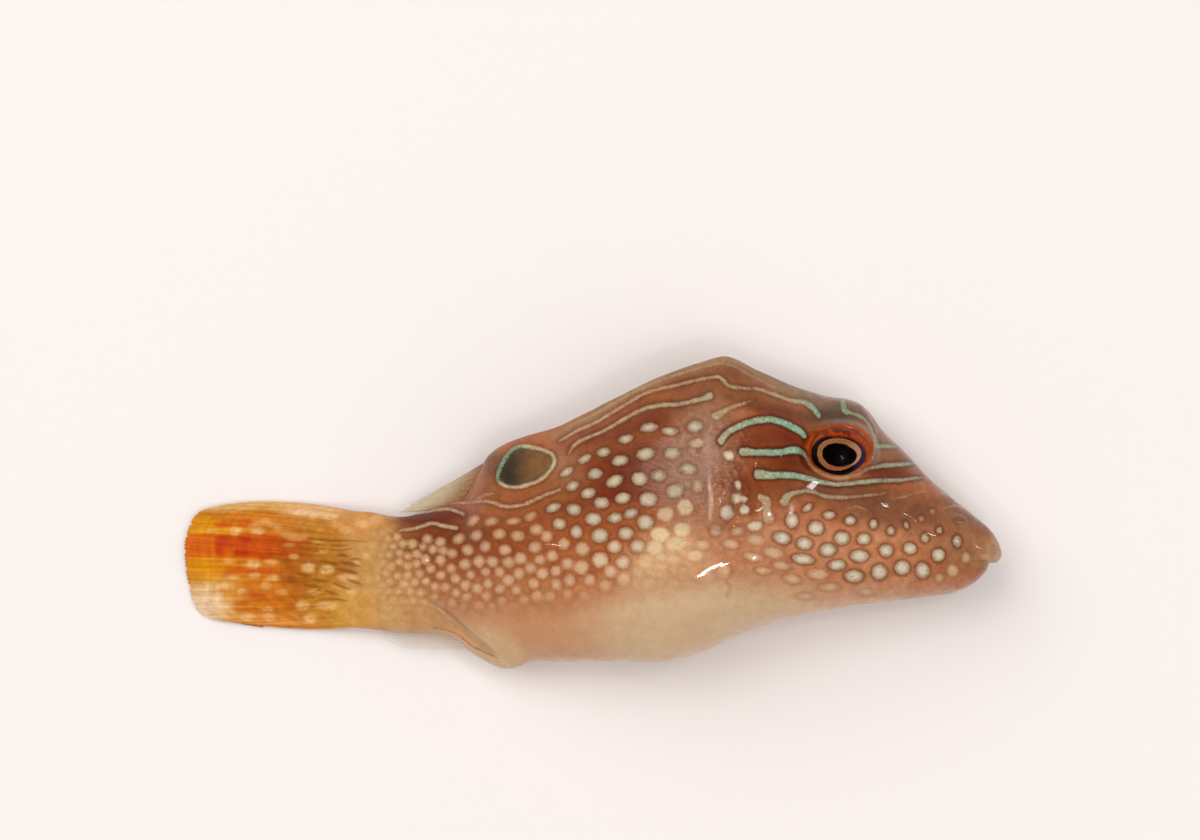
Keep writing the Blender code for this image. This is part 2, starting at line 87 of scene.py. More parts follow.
HALF_WIDTH = [
    (0.0, 0.0), (0.15, 0.6), (0.5, 1.05), (1.0, 1.35), (2.0, 1.75), (4.0, 2.4), (6.5, 3.1), (9.0, 3.75),
    (12.0, 4.4), (16.0, 4.95), (20.0, 5.0), (25.0, 4.7), (29.0, 4.05), (32.0, 3.2), (34.5, 2.35),
    (37.0, 1.7), (39.2, 1.25), (STALK_END, 0.92), (41.8, 0.42), (43.0, 0.14), (SKIN_END, 0.05),
]
MIDDLE_LIFT = [
    (0.0, 3.7), (4.0, 3.9), (9.0, 4.25), (14.0, 4.5), (20.0, 4.55), (25.0, 4.25), (29.0, 3.65),
    (32.0, 2.85), (34.5, 2.05), (37.0, 1.5), (TAIL_FIN_START, 1.2), (44.5, 0.33), (TOTAL_LENGTH, 0.33),
]
WIDEST_SHARE = [
    (0.0, 0.45), (2.0, 0.42), (6.0, 0.38), (16.0, 0.37), (24.0, 0.36), (31.0, 0.41), (STALK_END, 0.5),
]
BACK_FULLNESS = [
    (0.0, 2.0), (4.0, 1.8), (9.0, 2.3), (11.5, 2.0), (14.5, 1.2), (28.0, 1.1), (34.0, 1.5), (STALK_END, 2.0),
]
BELLY_FULLNESS = [
    (0.0, 2.0), (10.0, 2.2), (22.0, 2.2), (28.0, 1.8), (31.5, 1.15), (34.5, 1.5), (STALK_END, 2.0),
]
BELLY_POWER = 2.2
FOLD_LINE = [(31.6, -6.55), (33.5, -5.1), (34.5, -4.25), (36.1, -2.9), (37.4, -2.2)]
FOLD_START, FOLD_FULL, FOLD_FADE, FOLD_END = 31.6, 32.6, 34.8, 37.0
FOLD_SOFTNESS, STRIP_HALF_WIDTH = 1.0, 0.8
BROW_RISE, BROW_LENGTH, BROW_HEIGHT = 0.45, 2.5, 2.1
LIP_RISE, LIP_STATION, LIP_HEIGHT, LIP_SIZE = 0.16, 0.75, 0.3, 0.55
POCKET_CENTRE, POCKET_SIZE, POCKET_DEPTH = (20.9, 5.4), (3.1, 4.2), 0.92
EYE_STATION, EYE_HEIGHT = 10.4, 7.15


# %% Curves through those lists
def smooth(points):
    """A curve through the points that never overshoots, run on the root of the station to round the snout."""
    keys = np.sqrt([point[0] for point in points])
    values = np.array([point[1] for point in points])
    slopes = np.diff(values) / np.diff(keys)
    before, after = slopes[:-1], slopes[1:]
    rising = before * after > 0
    joint = np.where(rising, 2 * before * after / np.where(rising, before + after, 1), 0)
    tangents = np.concatenate(([slopes[0]], joint, [slopes[-1]]))

    def value_at(station):
        key = np.clip(np.sqrt(np.maximum(station, 0)), keys[0], keys[-1])
        i = np.clip(np.searchsorted(keys, key, "right") - 1, 0, len(keys) - 2)
        width = keys[i + 1] - keys[i]
        t = (key - keys[i]) / width
        return (
            values[i] * (1 + 2 * t) * (1 - t) ** 2
            + tangents[i] * width * t * (1 - t) ** 2
            + values[i + 1] * t * t * (3 - 2 * t)
            + tangents[i + 1] * width * t * t * (t - 1)
        )

    return value_at


def ease(x):
    """0 below 0, 1 above 1, and a smooth step between them."""
    x = np.clip(x, 0, 1)
    return x * x * (3 - 2 * x)


def bell(x):
    """1 at 0, falling smoothly away on both sides."""
    return np.exp(-np.square(x))


def read_off(x, table):
    """The value at x of a table of pairs, with straight lines between them."""
    return np.interp(x, *zip(*table))


back_line, belly_line, half_width = smooth(BACK_LINE), smooth(BELLY_LINE), smooth(HALF_WIDTH)
middle_lift, widest_share = smooth(MIDDLE_LIFT), smooth(WIDEST_SHARE)
back_fullness, belly_fullness, fold_line = smooth(BACK_FULLNESS), smooth(BELLY_FULLNESS), smooth(FOLD_LINE)


def reach(station, height):
    """How far the skin stands out from the middle plane at a station and height."""
    low, high = belly_line(station), back_line(station)
    widest = low + (high - low) * widest_share(station)
    above = np.clip((height - widest) / np.maximum(high - widest, 1e-6), 0, 1)
    below = np.clip((widest - height) / np.maximum(widest - low, 1e-6), 0, 1)
    upper = (1 - above**2) ** (1 / back_fullness(station))
    lower = (1 - below**BELLY_POWER) ** (1 / belly_fullness(station))
    full = np.where(height >= widest, upper, lower)
    swell = BROW_RISE * bell((station - EYE_STATION) / BROW_LENGTH)
    swell *= bell((height - EYE_HEIGHT) / BROW_HEIGHT)
    swell += LIP_RISE * bell((station - LIP_STATION) / LIP_SIZE) * bell((height - LIP_HEIGHT) / LIP_SIZE)
    out = half_width(station) * full + swell * np.sqrt(full)
    deep = ease((station - FOLD_START) / (FOLD_FULL - FOLD_START))
    deep = deep * ease((FOLD_END - station) / (FOLD_END - FOLD_FADE))
    inside = deep * (1 - ease((height - fold_line(station)) / FOLD_SOFTNESS))
    strip = STRIP_HALF_WIDTH * np.sqrt(full)
    return np.where(out > STRIP_HALF_WIDTH, out + (strip - out) * inside, out)


def table_under(station, height):
    """The level that the left side is pressed up to: the table, or the folded left side fin on it."""
    across = (station - POCKET_CENTRE[0]) / POCKET_SIZE[0]
    up = (height - POCKET_CENTRE[1]) / POCKET_SIZE[1]
    return POCKET_DEPTH * ease(2.6 * (1.25 - np.hypot(across, up)))


print("the body is widest, in mm:", round(float(2 * half_width(20.0)), 2))

# %% [markdown]
# ## A ruler from the picture to the fish
# The markings are placed by what the picture shows. The camera stood straight above the fish, so a point of
# the skin has one place in the 1200 by 840 picture. This ruler gives that place for a station, a height and
# a reach. The left side, which faces the table, borrows the place of its twin on the right side.

# %% The camera's place, and the ruler
CAMERA_X, CAMERA_Y, CAMERA_Z = 0.695, 5.923, 250.0
PIXELS_PER_MM, PICTURE_MIDDLE = 15.48, (600.0, 420.0)
PICTURE_WIDTH, SENSOR_WIDTH = 1200, 36.0


def lay_down(station, height, lateral):
    """A point of the fish's own frame, in millimetres, as it lies on the table."""
    x = TOTAL_LENGTH / 2 - station
    y = height - (BACK_PEAK - KEEL_DEPTH) / 2
    return np.stack(np.broadcast_arrays(x, y, middle_lift(station) + lateral), axis=-1)


def picture_place(points):
    """Where points in millimetres show in the picture, in its pixels."""
    scale = PIXELS_PER_MM * CAMERA_Z / (CAMERA_Z - points[..., 2])
    across = PICTURE_MIDDLE[0] + (points[..., 0] - CAMERA_X) * scale
    down = PICTURE_MIDDLE[1] - (points[..., 1] - CAMERA_Y) * scale
    return across, down


print("the snout's tip shows at", [round(float(v)) for v in picture_place(lay_down(0.0, 0.75, 0.0))])

# %% [markdown]
# ## The skin's net of points
# The skin starts as a UV sphere with one pole at the tip of the snout and the other inside the tail fin. No
# set of edit operators gives a fish's outline, so each point of the sphere is moved to its place by the
# curves above. Rings lie closer on the head, where the small lines and spots are, and two thirds of the
# points go to the right side, which faces up.

# %% Where the rings and the points round each ring lie
SEGMENTS, RIGHT_SEGMENTS, RINGS = 270, 190, 366
RING_PITCH = [
    (0.0, 0.035), (1.0, 0.07), (3.0, 0.085), (13.0, 0.09), (17.0, 0.115), (30.0, 0.135), (SKIN_END, 0.135),
]
FINE_STEPS, OUTLINE_STEPS, CHEEK_RING = 8000, 600, 120


def ring_stations(count):
    """The station of each ring, from the pitch that each stretch of the body wants."""
    fine = SKIN_END * np.linspace(0, 1, FINE_STEPS) ** 2
    pitch = read_off(fine, RING_PITCH) * np.clip(np.sqrt(fine / 0.5), 0.08, 1)
    total = np.concatenate(([0], np.cumsum(np.diff(fine) / ((pitch[1:] + pitch[:-1]) / 2))))
    return np.interp(np.linspace(0, total[-1], count + 2)[1:], total, fine)[:count]


def even_heights(stations, side, count):
    """Heights at even steps along the skin of one side, from the belly to the back, for each station."""
    turn = (1 - np.cos(np.linspace(0, math.pi, OUTLINE_STEPS))) / 2
    low, high = belly_line(stations)[:, None], back_line(stations)[:, None]
    heights = low + (high - low) * turn
    across = stations[:, None] + 0 * heights
    level = middle_lift(across) + side * reach(across, heights)
    if side < 0:
        level = np.maximum(level, table_under(across, heights))
    steps = np.hypot(np.diff(heights, axis=1), np.diff(level, axis=1))
    length = np.concatenate((np.zeros((len(stations), 1)), np.cumsum(steps, axis=1)), axis=1)
    even = np.linspace(0, 1, count + 1)
    return np.array([np.interp(even * l[-1], l, h) for l, h in zip(length, heights)])


stations = ring_stations(RINGS - 1)
right_heights = even_heights(stations, 1, RIGHT_SEGMENTS)
left_heights = even_heights(stations, -1, SEGMENTS - RIGHT_SEGMENTS)
heights = np.concatenate((right_heights, left_heights[:, -2:0:-1]), axis=1)
side = np.where(np.arange(SEGMENTS) <= RIGHT_SEGMENTS, 1.0, -1.0)[None, :] + 0 * heights
station = stations[:, None] + 0 * heights
out = reach(station, heights)
across, down = picture_place(lay_down(station, heights, out))
cheek_pitch = round(float(np.diff(stations)[CHEEK_RING]), 3)
print(RINGS - 1, "rings of", SEGMENTS, "points; pitch on the cheek:", cheek_pitch, "mm")

# %% [markdown]
# ## Strokes, and how far a point is from them
# Lines, grooves and folds are all strokes: a smooth curve through a few points of the picture with a width
# along it. What the skin needs is its distance inside a stroke's edge, in pixels, because a distance stays
# crisp between the points of the net where a painted colour would blur.

# %% Curves and distances in the picture
CURVE_STEP, STROKE_MARGIN, FAR_OUTSIDE = 2.0, 14, -99.0


def spline_point(a, b, c, d, t):
    """The place a share t of the way from b to c on a smooth curve that comes from a and goes on to d."""
    return 0.5 * (2 * b + (c - a) * t + (2 * a - 5 * b + 4 * c - d) * t**2 + (3 * b - a - 3 * c + d) * t**3)


def curve_through(points, closed=False):
    """A smooth curve through the points, as many short steps. Extra numbers of a point are carried along."""
    points = np.array(points, float)
    if closed:
        ring = np.concatenate((points[-1:], points, points[:2]))
    else:
        ring = np.concatenate((2 * points[:1] - points[1:2], points, 2 * points[-1:] - points[-2:-1]))
    made = []
    for a, b, c, d in zip(ring, ring[1:], ring[2:], ring[3:]):
        count = max(int(np.hypot(*(c - b)[:2]) / CURVE_STEP), 2)
        made.append(spline_point(a, b, c, d, np.linspace(0, 1, count, endpoint=False)[:, None]))
    return np.concatenate(made) if closed else np.concatenate((*made, points[-1:]))


def stroke_distance(across, down, path, half_widths):
    """How far each place is inside the stroke's edge, in pixels. It is negative outside."""
    best = np.full(across.shape, FAR_OUTSIDE)
    left, top = path[:, :2].min(axis=0) - STROKE_MARGIN
    right, bottom = path[:, :2].max(axis=0) + STROKE_MARGIN
    near = (across > left) & (across < right) & (down > top) & (down < bottom)
    x, y = across[near], down[near]
    inside = np.full(x.shape, FAR_OUTSIDE)
    for (ax, ay), (bx, by), wa, wb in zip(path[:, :2], path[1:, :2], half_widths, half_widths[1:]):
        dx, dy = bx - ax, by - ay
        t = np.clip(((x - ax) * dx + (y - ay) * dy) / max(dx * dx + dy * dy, 1e-9), 0, 1)
        inside = np.maximum(inside, wa + (wb - wa) * t - np.hypot(x - ax - t * dx, y - ay - t * dy))
    best[near] = inside
    return best


def inside_stroke(across, down, points):
    """How far each place is inside a stroke whose points carry half of its width."""
    curve = curve_through(points)
    return stroke_distance(across, down, curve, curve[:, 2])


def ellipse_share(across, down, centre, radii, turn=0.0):
    """0 at an ellipse's middle, 1 on its edge, and more outside. The turn is clockwise in the picture."""
    c, s = math.cos(math.radians(turn)), math.sin(math.radians(turn))
    x, y = across - centre[0], down - centre[1]
    return np.hypot((x * c + y * s) / radii[0], (y * c - x * s) / radii[1])


test_curve = curve_through([(0, 0), (10, 0), (20, 5)])
print("a test curve has", len(test_curve), "points")

# %% [markdown]
# ## The eye's place
# The eyeball is a flattened ball that looks out square to the cheek, so it leans forward and up. The skin
# dips under it inside an oval opening and meets it in a low rim, as a puffer's lids do. The lower lid covers
# a little more of the ball than the upper one.

# %% The eyeball's frame and the opening in the skin
EYE_RADII, EYE_REACH = (2.1, 1.88, 1.3), 2.91
EYE_FORWARD, EYE_UP = math.radians(13), math.radians(19)
OPENING_CENTRE, OPENING_RADII = (839.3, 451.4), (31.8, 25.2)
RIM_RISE, RIM_WIDTH = 0.05, 0.34
# Pixels in a millimetre at the eye's level, and how far the skin dips under the ball's edge and middle
OPENING_SCALE, DIP_AT_EDGE, DIP_TO_MIDDLE = 15.9, 0.1, 0.55


def eye_frame(side):
    """The eyeball's middle in millimetres, and its three directions: ahead, up and out."""
    look = np.array([math.tan(EYE_FORWARD), math.tan(EYE_UP), side])
    look /= np.linalg.norm(look)
    ahead = np.array([1.0, 0.0, 0.0]) - look * look[0]
    ahead /= np.linalg.norm(ahead)
    rise = np.cross(look, ahead) * side
    return lay_down(EYE_STATION, EYE_HEIGHT, side * EYE_REACH), np.array([ahead, rise, look])


def eye_level(x, y):
    """The level of the right eyeball's surface over a place of the table, or a low one beside it."""
    middle, axes = eye_frame(1)
    metric = axes.T @ np.diag(1 / np.square(EYE_RADII)) @ axes
    dx, dy = x - middle[0], y - middle[1]
    a = metric[2, 2]
    b = 2 * (metric[0, 2] * dx + metric[1, 2] * dy)
    c = metric[0, 0] * dx**2 + metric[1, 1] * dy**2 + 2 * metric[0, 1] * dx * dy - 1
    square = b * b - 4 * a * c
    return middle[2] + (-b + np.sqrt(np.maximum(square, 0))) / (2 * a)


def open_socket(out):
    """The skin's reach with the eye's opening sunk under the ball and its rim drawn up to it."""
    share = ellipse_share(across, down, OPENING_CENTRE, OPENING_RADII)
    point = lay_down(station, heights, out)
    middle_x = CAMERA_X + (OPENING_CENTRE[0] - PICTURE_MIDDLE[0]) / OPENING_SCALE
    middle_y = CAMERA_Y - (OPENING_CENTRE[1] - PICTURE_MIDDLE[1]) / OPENING_SCALE
    edge_x = middle_x + (point[..., 0] - middle_x) / np.maximum(share, 0.05)
    edge_y = middle_y + (point[..., 1] - middle_y) / np.maximum(share, 0.05)
    rim = eye_level(edge_x, edge_y) - middle_lift(station) + RIM_RISE
    ball = eye_level(point[..., 0], point[..., 1]) - middle_lift(station)
    outside = rim + (out - rim) * ease((share - 1) / RIM_WIDTH)
    inside = ball - DIP_AT_EDGE - DIP_TO_MIDDLE * (1 - share)
    inside = inside + (rim - inside) * ease((share - 0.9) / 0.1)
    return np.where(share < 1, inside, np.where(share < 2, outside, out))


out = open_socket(out)
print("the eye's middle, in mm:", np.round(eye_frame(1)[0], 2))

# %% [markdown]
# ## Relief on the skin
# The forms that the light picks out are real geometry: the nostril's rim, the cleft of the mouth, the gill
# slit, the fleshy lobe that the side fin grows from, the creases round it, and a slight unevenness over the
# whole body. Each is a height in millimetres, added square to the skin.

# %% Heights of each form
NOSTRIL, NOSTRIL_RADII, NOSTRIL_TURN = (958.0, 521.5), (5.52, 4.6), 20
NOSTRIL_RIM, NOSTRIL_DEPTH = 0.09, 0.22
MOUTH_HEIGHT, MOUTH_FRONT, MOUTH_CORNER = 0.17, 0.86, 1.7
CLEFT_DEPTH, LIP_SWELL, UPPER_LIP, LOWER_LIP = 0.1, 0.045, 0.3, 0.36
GILL_DEPTH, GILL_SWELL, CREASE_DEPTH = 0.2, 0.08, 0.05
GILL_SLIT = [(733, 463, 0.6), (739, 471, 1.6), (744, 482, 2.0), (746.5, 493, 1.7), (746, 502, 0.8)]
GILL_EDGE = [(737, 455, 2), (747, 468, 3), (754, 484, 3.4), (758, 498, 3.2), (752, 514, 2)]
FIN_LOBE, FIN_LOBE_RADII, FIN_LOBE_TURN = (717.0, 497.0), (17.0, 34.0), 4
FIN_LOBE_RISE, FIN_LOBE_FRONT = 0.68, 701
CREASES = [
    [(700, 440, 1), (704, 462, 2), (701, 486, 1)], [(690, 452, 1), (693, 474, 1.8), (690, 492, 1)],
    [(752, 506, 1), (745, 520, 1.6), (733, 529, 1)], [(760, 430, 1), (748, 440, 1.6), (739, 455, 1)],
    [(726, 434, 1), (716, 452, 2), (716, 466, 1)], [(870, 415, 1), (878, 430, 1.6), (879, 448, 1)],
    [(742, 500, 0.8), (750, 509, 1.2), (752, 517, 0.8)],
    [(736, 506, 0.8), (741, 512, 1.2), (740, 521, 0.8)],
]
# Seed, number of waves, and the shortest and longest of them in pixels
RIPPLES, RIPPLE_HEIGHT = (3, 26, 18, 90), 0.016
WRINKLES, WRINKLE_HEIGHT, WRINKLED = (5, 30, 6, 15), 0.022, ((722.0, 470.0), (38.0, 60.0))
CALM_PLACES, CALM = [((712.0, 570.0), (44.0, 24.0)), ((816.0, 485.0), (14.0, 9.0))], 0.9
SWELLING_RISE, SWELLING_FROM, SWELLING_TO, SWELLING_LEVEL = 0.07, 716, 770, 566


def stroke_relief(path, height, soft=2.0):
    """A ridge or a groove along a stroke, with rounded sides."""
    return height * ease((inside_stroke(across, down, path) + soft) / (2 * soft))


def ripples(seed, count, shortest, longest):
    """Slow unevenness: a sum of waves in many directions, between about -1 and 1."""
    draw = np.random.default_rng(seed)
    total = np.zeros(across.shape)
    for _ in range(count):
        turn, wave = draw.uniform(0, math.tau), draw.uniform(shortest, longest)
        phase = draw.uniform(0, math.tau)
        total += np.sin((across * math.cos(turn) + down * math.sin(turn)) * math.tau / wave + phase + side)
    return total / math.sqrt(count)


nostril_share = ellipse_share(across, down, NOSTRIL, NOSTRIL_RADII, NOSTRIL_TURN)
relief = NOSTRIL_RIM * bell((nostril_share - 1.05) / 0.42) - NOSTRIL_DEPTH * bell(nostril_share / 0.62)
in_mouth = ease((MOUTH_CORNER - station) / 0.5) * ease((station - MOUTH_FRONT) / 0.2)
above_mouth = heights - MOUTH_HEIGHT
relief -= CLEFT_DEPTH * bell(above_mouth / 0.08) * in_mouth
lips = bell((above_mouth - UPPER_LIP) / 0.2) + bell((above_mouth + LOWER_LIP) / 0.22)
relief += LIP_SWELL * lips * in_mouth
relief += stroke_relief(GILL_SLIT, -GILL_DEPTH, 3) + stroke_relief(GILL_EDGE, GILL_SWELL, 5)
lobe_share = ellipse_share(across, down, FIN_LOBE, FIN_LOBE_RADII, FIN_LOBE_TURN)
relief += FIN_LOBE_RISE * np.sqrt(np.clip(1 - lobe_share**2, 0, 1)) * ease((across - FIN_LOBE_FRONT) / 9)
for crease in CREASES:
    relief += stroke_relief(crease, -CREASE_DEPTH)
calm = 1 - CALM * sum(ease(1.7 - ellipse_share(across, down, *place)) for place in CALM_PLACES)
relief += RIPPLE_HEIGHT * calm * ripples(*RIPPLES) * ease(station / 2) * ease((SKIN_END - station) / 3)
swelling = ease((across - SWELLING_FROM) / 46) * (1 - ease((across - SWELLING_TO) / 60))
relief += SWELLING_RISE * swelling * bell((down - SWELLING_LEVEL) / 30)
wrinkled = ease(1.5 - ellipse_share(across, down, *WRINKLED)) * ease((station - 12) / 2)
relief += WRINKLE_HEIGHT * calm * ripples(*WRINKLES) * wrinkled
print("relief from", round(float(relief.min()), 2), "to", round(float(relief.max()), 2), "mm")


# %% Short ways to start and finish a piece
def only(made):
    """Selects one object and nothing else, and makes it the active one."""
    bpy.ops.object.select_all(action="DESELECT")
    made.select_set(True)
    bpy.context.view_layer.objects.active = made
    return made


def start_piece(name, add, **shape):
    """A new primitive at the middle of the frame, named. All else is deselected before it is added."""
    bpy.ops.object.select_all(action="DESELECT")
    add(location=(0, 0, 0), **shape)
    made = only(bpy.context.object)
    made.name = made.data.name = name
    return made


def points_of(piece):
    """Where a piece's points are, one row each."""
    places = np.empty(len(piece.data.vertices) * 3, np.float32)
    piece.data.vertices.foreach_get("co", places)
    return places.reshape(-1, 3).astype(float)


def put_points(piece, points):
    """Moves a piece's points to places in millimetres."""
    piece.data.vertices.foreach_set("co", (points * MM).astype(np.float32).ravel())
    piece.data.update()


def triangles(piece):
    return sum(len(face.vertices) - 2 for face in piece.data.polygons)


def outward(made):
    """Turns every face of a closed piece outwards and shades it smooth."""
    only(made)
    bpy.ops.object.mode_set(mode="EDIT")
    bpy.ops.mesh.select_all(action="SELECT")
    bpy.ops.mesh.normals_make_consistent(inside=False)
    bpy.ops.object.mode_set(mode="OBJECT")
    bpy.ops.object.shade_smooth()


print("helpers for pieces are ready; a metre of the frame is", round(1 / MM), "mm")


# %% Put the sphere's points in place
def skin_points():
    """Every ring's points in millimetres, with the relief added square to the skin."""
    points = lay_down(station, heights, side * out)
    along = np.gradient(points, axis=0)
    round_it = (np.roll(points, -1, axis=1) - np.roll(points, 1, axis=1)) / 2
    square = np.cross(round_it, along)
    square /= np.maximum(np.linalg.norm(square, axis=-1, keepdims=True), 1e-9)
    middle = lay_down(station, (back_line(station) + belly_line(station)) / 2, 0 * station)
    if np.sum(square[..., 2] * (points - middle)[..., 2]) < 0:
        square = -square
    points = points + square * relief[..., None]
    points[..., 2] = np.maximum(points[..., 2], np.where(side < 0, table_under(station, heights), 0))
    return np.clip(points, solid_low, solid_high)


add_sphere = bpy.ops.mesh.primitive_uv_sphere_add
skin = start_piece("skin", add_sphere, segments=SEGMENTS, ring_count=RINGS, radius=1)
ball = points_of(skin)
ring_of = np.rint(np.arccos(np.clip(ball[:, 2], -1, 1)) / math.pi * RINGS).astype(int)
segment_of = np.rint(np.arctan2(ball[:, 1], ball[:, 0]) / math.tau * SEGMENTS).astype(int) % SEGMENTS
snout_pole, tail_pole = ring_of == 0, ring_of == RINGS
row_of = np.clip(ring_of - 1, 0, RINGS - 2)
place = skin_points()[row_of, segment_of]
place[snout_pole] = lay_down(0.0, BACK_LINE[0][1], 0.0)
place[tail_pole] = lay_down(SKIN_END, (BACK_LINE[-1][1] + BELLY_LINE[-1][1]) / 2, 0.0)
put_points(skin, place)
outward(skin)
skin_across, skin_down = across[row_of, segment_of], down[row_of, segment_of]
skin_station, skin_height = station[row_of, segment_of], heights[row_of, segment_of]
skin_side = side[row_of, segment_of]
print("the skin has", triangles(skin), "triangles")

# %% [markdown]
# ## Markings of the skin
# A pearl toby carries pearly spots on its cheeks and flanks, thin blue-green stripes round the eyes, pale
# lines along the back, and one dark eye-spot, the ocellus, at the root of the back fin. The spots that show
# well in the picture are set one by one. The many small ones behind them are scattered by a rule that keeps
# them a pitch apart, as the fish's own are.

# %% Spots that are set one by one, in groups with one finish
# Each spot's place, half its width and height, and its turn where it has one, all in the picture
CHEEK_SPOTS = [
    (792, 520.5, 6.2, 7.6), (816, 528, 8, 7), (842, 538, 7.6, 6.6), (782, 538, 8.6, 6.4, 12),
    (804.5, 543.5, 8, 6, 8), (828, 550, 8.4, 6.6), (864, 539, 6.6, 5.6), (850, 520.5, 5.6, 4.6),
    (829.5, 515, 5.6, 4), (891, 531, 4, 4), (924.5, 538, 3.8, 4.6), (939, 530.5, 2.9, 3.4),
    (957, 541.5, 4.3, 5.4), (910, 548.5, 6.4, 5.8), (886, 550.5, 7, 6.4), (859.5, 556, 9, 6.2),
    (837, 565, 8.8, 5.2), (803, 559, 10.6, 5.4, 8), (938.5, 555, 6.4, 6.8), (923, 570.5, 7.2, 8),
    (902, 567.5, 7.6, 7.4), (879.5, 572, 7.6, 7.8), (854, 576, 9.4, 6.2), (873.5, 524, 3.8, 4.4, 20),
    (906.5, 525, 2.3, 3.3, -20), (807.5, 507.5, 5, 3.2, -35),
]
SOFT_SPOTS = [
    (773, 552.5, 9.4, 5, 14), (755.5, 539.5, 8, 5, 12), (966, 557.5, 3.8, 5), (952.5, 570.5, 5.2, 6),
    (817.5, 574, 9.8, 4.8, 4), (781, 565.5, 8.6, 4, 10), (792, 579, 8, 4.2, 10), (829.5, 587, 9.2, 3.8),
    (939.5, 578, 4, 3.8), (753, 557, 8.6, 4, 10), (763, 570.5, 7, 3.4, 8), (737, 531, 5.4, 4.2),
    (731, 544, 7.6, 4.4, 8), (702.5, 545, 7, 4.8), (715.5, 531, 5.4, 5.4), (921, 518.5, 2.1, 2.1),
    (932.5, 511.5, 2, 2), (697.5, 486, 4.8, 6.2), (697, 443, 7, 4, -10), (805, 596, 7, 3),
    (866, 592, 6, 3),
]
GILL_SPOTS = [
    (736.5, 498.5, 4.6, 4.4), (727, 513, 6.2, 6.4), (744.5, 510, 4.6, 4.4, 20), (755, 526, 7, 4.4, -8),
    (728.5, 455.5, 4.6, 4.4), (744, 499, 3, 2.4), (738, 485, 2.6, 3.6, -20),
]
FLANK_SPOTS = [
    (566.5, 472, 7, 3.4, -35), (585, 459, 6.6, 3.5, -28), (603.5, 452, 6.6, 4.3, -15),
    (626, 439, 7, 4, -15), (649, 427.5, 8, 4.4, -8), (669.5, 431, 8, 4.2, 6), (695, 426.5, 8, 5.4, -8),
    (572.5, 486, 6.6, 4.4, -32), (595, 474, 7, 5.2, -15), (620, 460.5, 8, 5, -12),
    (645.5, 454, 8.8, 6, -15), (672, 453.5, 8, 5.8), (588, 493, 7, 5, -18), (614.5, 481, 8.4, 5.4, -25),
    (639.5, 478.5, 7.6, 6.8), (659, 475.5, 6.8, 5.6), (688, 469, 8, 5.4), (574, 509.5, 7, 5.6),
    (601.5, 503, 7, 5.8), (622.5, 498, 7.6, 5.4, -14), (648, 499.5, 8.6, 7), (675, 491, 8.8, 7, -15),
    (553.5, 507.5, 7, 4, -22), (559.5, 524, 6.4, 5.4), (593.5, 519, 7.6, 6.4), (615, 518, 7, 4.8, -10),
    (631, 513.5, 7, 4.4, -20), (645.5, 522.5, 8, 7.4), (576.5, 532, 6, 6.4), (600, 535.5, 8.4, 7.2),
    (626, 533.5, 7.8, 6.4), (614.5, 546.5, 7, 6.4), (637.5, 546.5, 7.4, 6.4), (600, 560, 8.4, 7.8),
    (623, 562.5, 7, 6.8),
]
CREAM_SPOTS = [
    (665.5, 514.5, 7, 6.4), (685, 507.5, 6.6, 7), (660, 534.5, 8, 6.4), (682, 529.5, 7, 6),
    (655, 547.5, 7, 6.2), (676, 544, 9, 6), (645.5, 562, 7, 5.8), (661, 557.5, 7, 4.4),
    (673, 559, 6.4, 4), (695, 556, 7, 4.8), (638, 572, 6, 4), (661, 574, 5, 3.4), (683, 571, 5, 3.8),
]
REAR_SPOTS = [
    (530.5, 516.5, 5.4, 3.3, -30), (513.5, 521, 6, 3, -8), (491.5, 521.5, 6, 3.6, -12),
    (473.5, 520.5, 6, 3.6, -38), (536.5, 529.5, 5.6, 4.8, -10), (517.5, 536, 6, 4.8),
    (499, 534, 5.4, 4.6), (476.5, 535.5, 5.4, 4.4, -18), (458.5, 538.5, 5.4, 4, -32),
    (440.5, 542, 4.8, 4.4), (427.5, 539, 4.4, 4.2), (412.5, 544, 4.4, 4.2), (505, 550, 5.4, 4.6),
    (485.5, 546.5, 5, 4.8), (467.5, 550, 4.8, 4.6), (452, 553.5, 4.4, 4.4), (547, 536.5, 5, 4.8),
    (564, 544, 5.2, 5), (535, 547.5, 5.8, 5), (552, 556, 5.2, 5), (582.5, 549, 6, 6.2),
    (520.5, 558.5, 5.4, 5.2), (492.5, 561.5, 5, 5), (479, 561.5, 4.8, 5.2), (465, 564.5, 4.8, 4.8),
    (440.5, 560, 4.4, 4.8), (425.5, 559.5, 4, 5), (581, 567.5, 6.4, 6),
]
PEARL, GREY_PEARL, CREAM = (172, 152, 130), (164, 145, 120), (228, 206, 170)
TAN, BEIGE, ROSE_GREY = (190, 139, 102), (198, 164, 132), (206, 194, 174)
# Each group's colour, how far it covers the ground, how dark its outline is, and its size against the list
SPOT_GROUPS = [
    (CHEEK_SPOTS, PEARL, 0.94, 0.9, 0.95),
    (SOFT_SPOTS, BEIGE, 0.66, 0.3, 1.0),
    (GILL_SPOTS, ROSE_GREY, 0.86, 0.45, 1.0),
    (FLANK_SPOTS, GREY_PEARL, 0.92, 0.58, 0.98),
    (CREAM_SPOTS, CREAM, 0.62, 0.05, 1.1),
    (REAR_SPOTS, TAN, 0.78, 0.3, 1.12),
]
print("spots set one by one:", sum(len(group[0]) for group in SPOT_GROUPS))

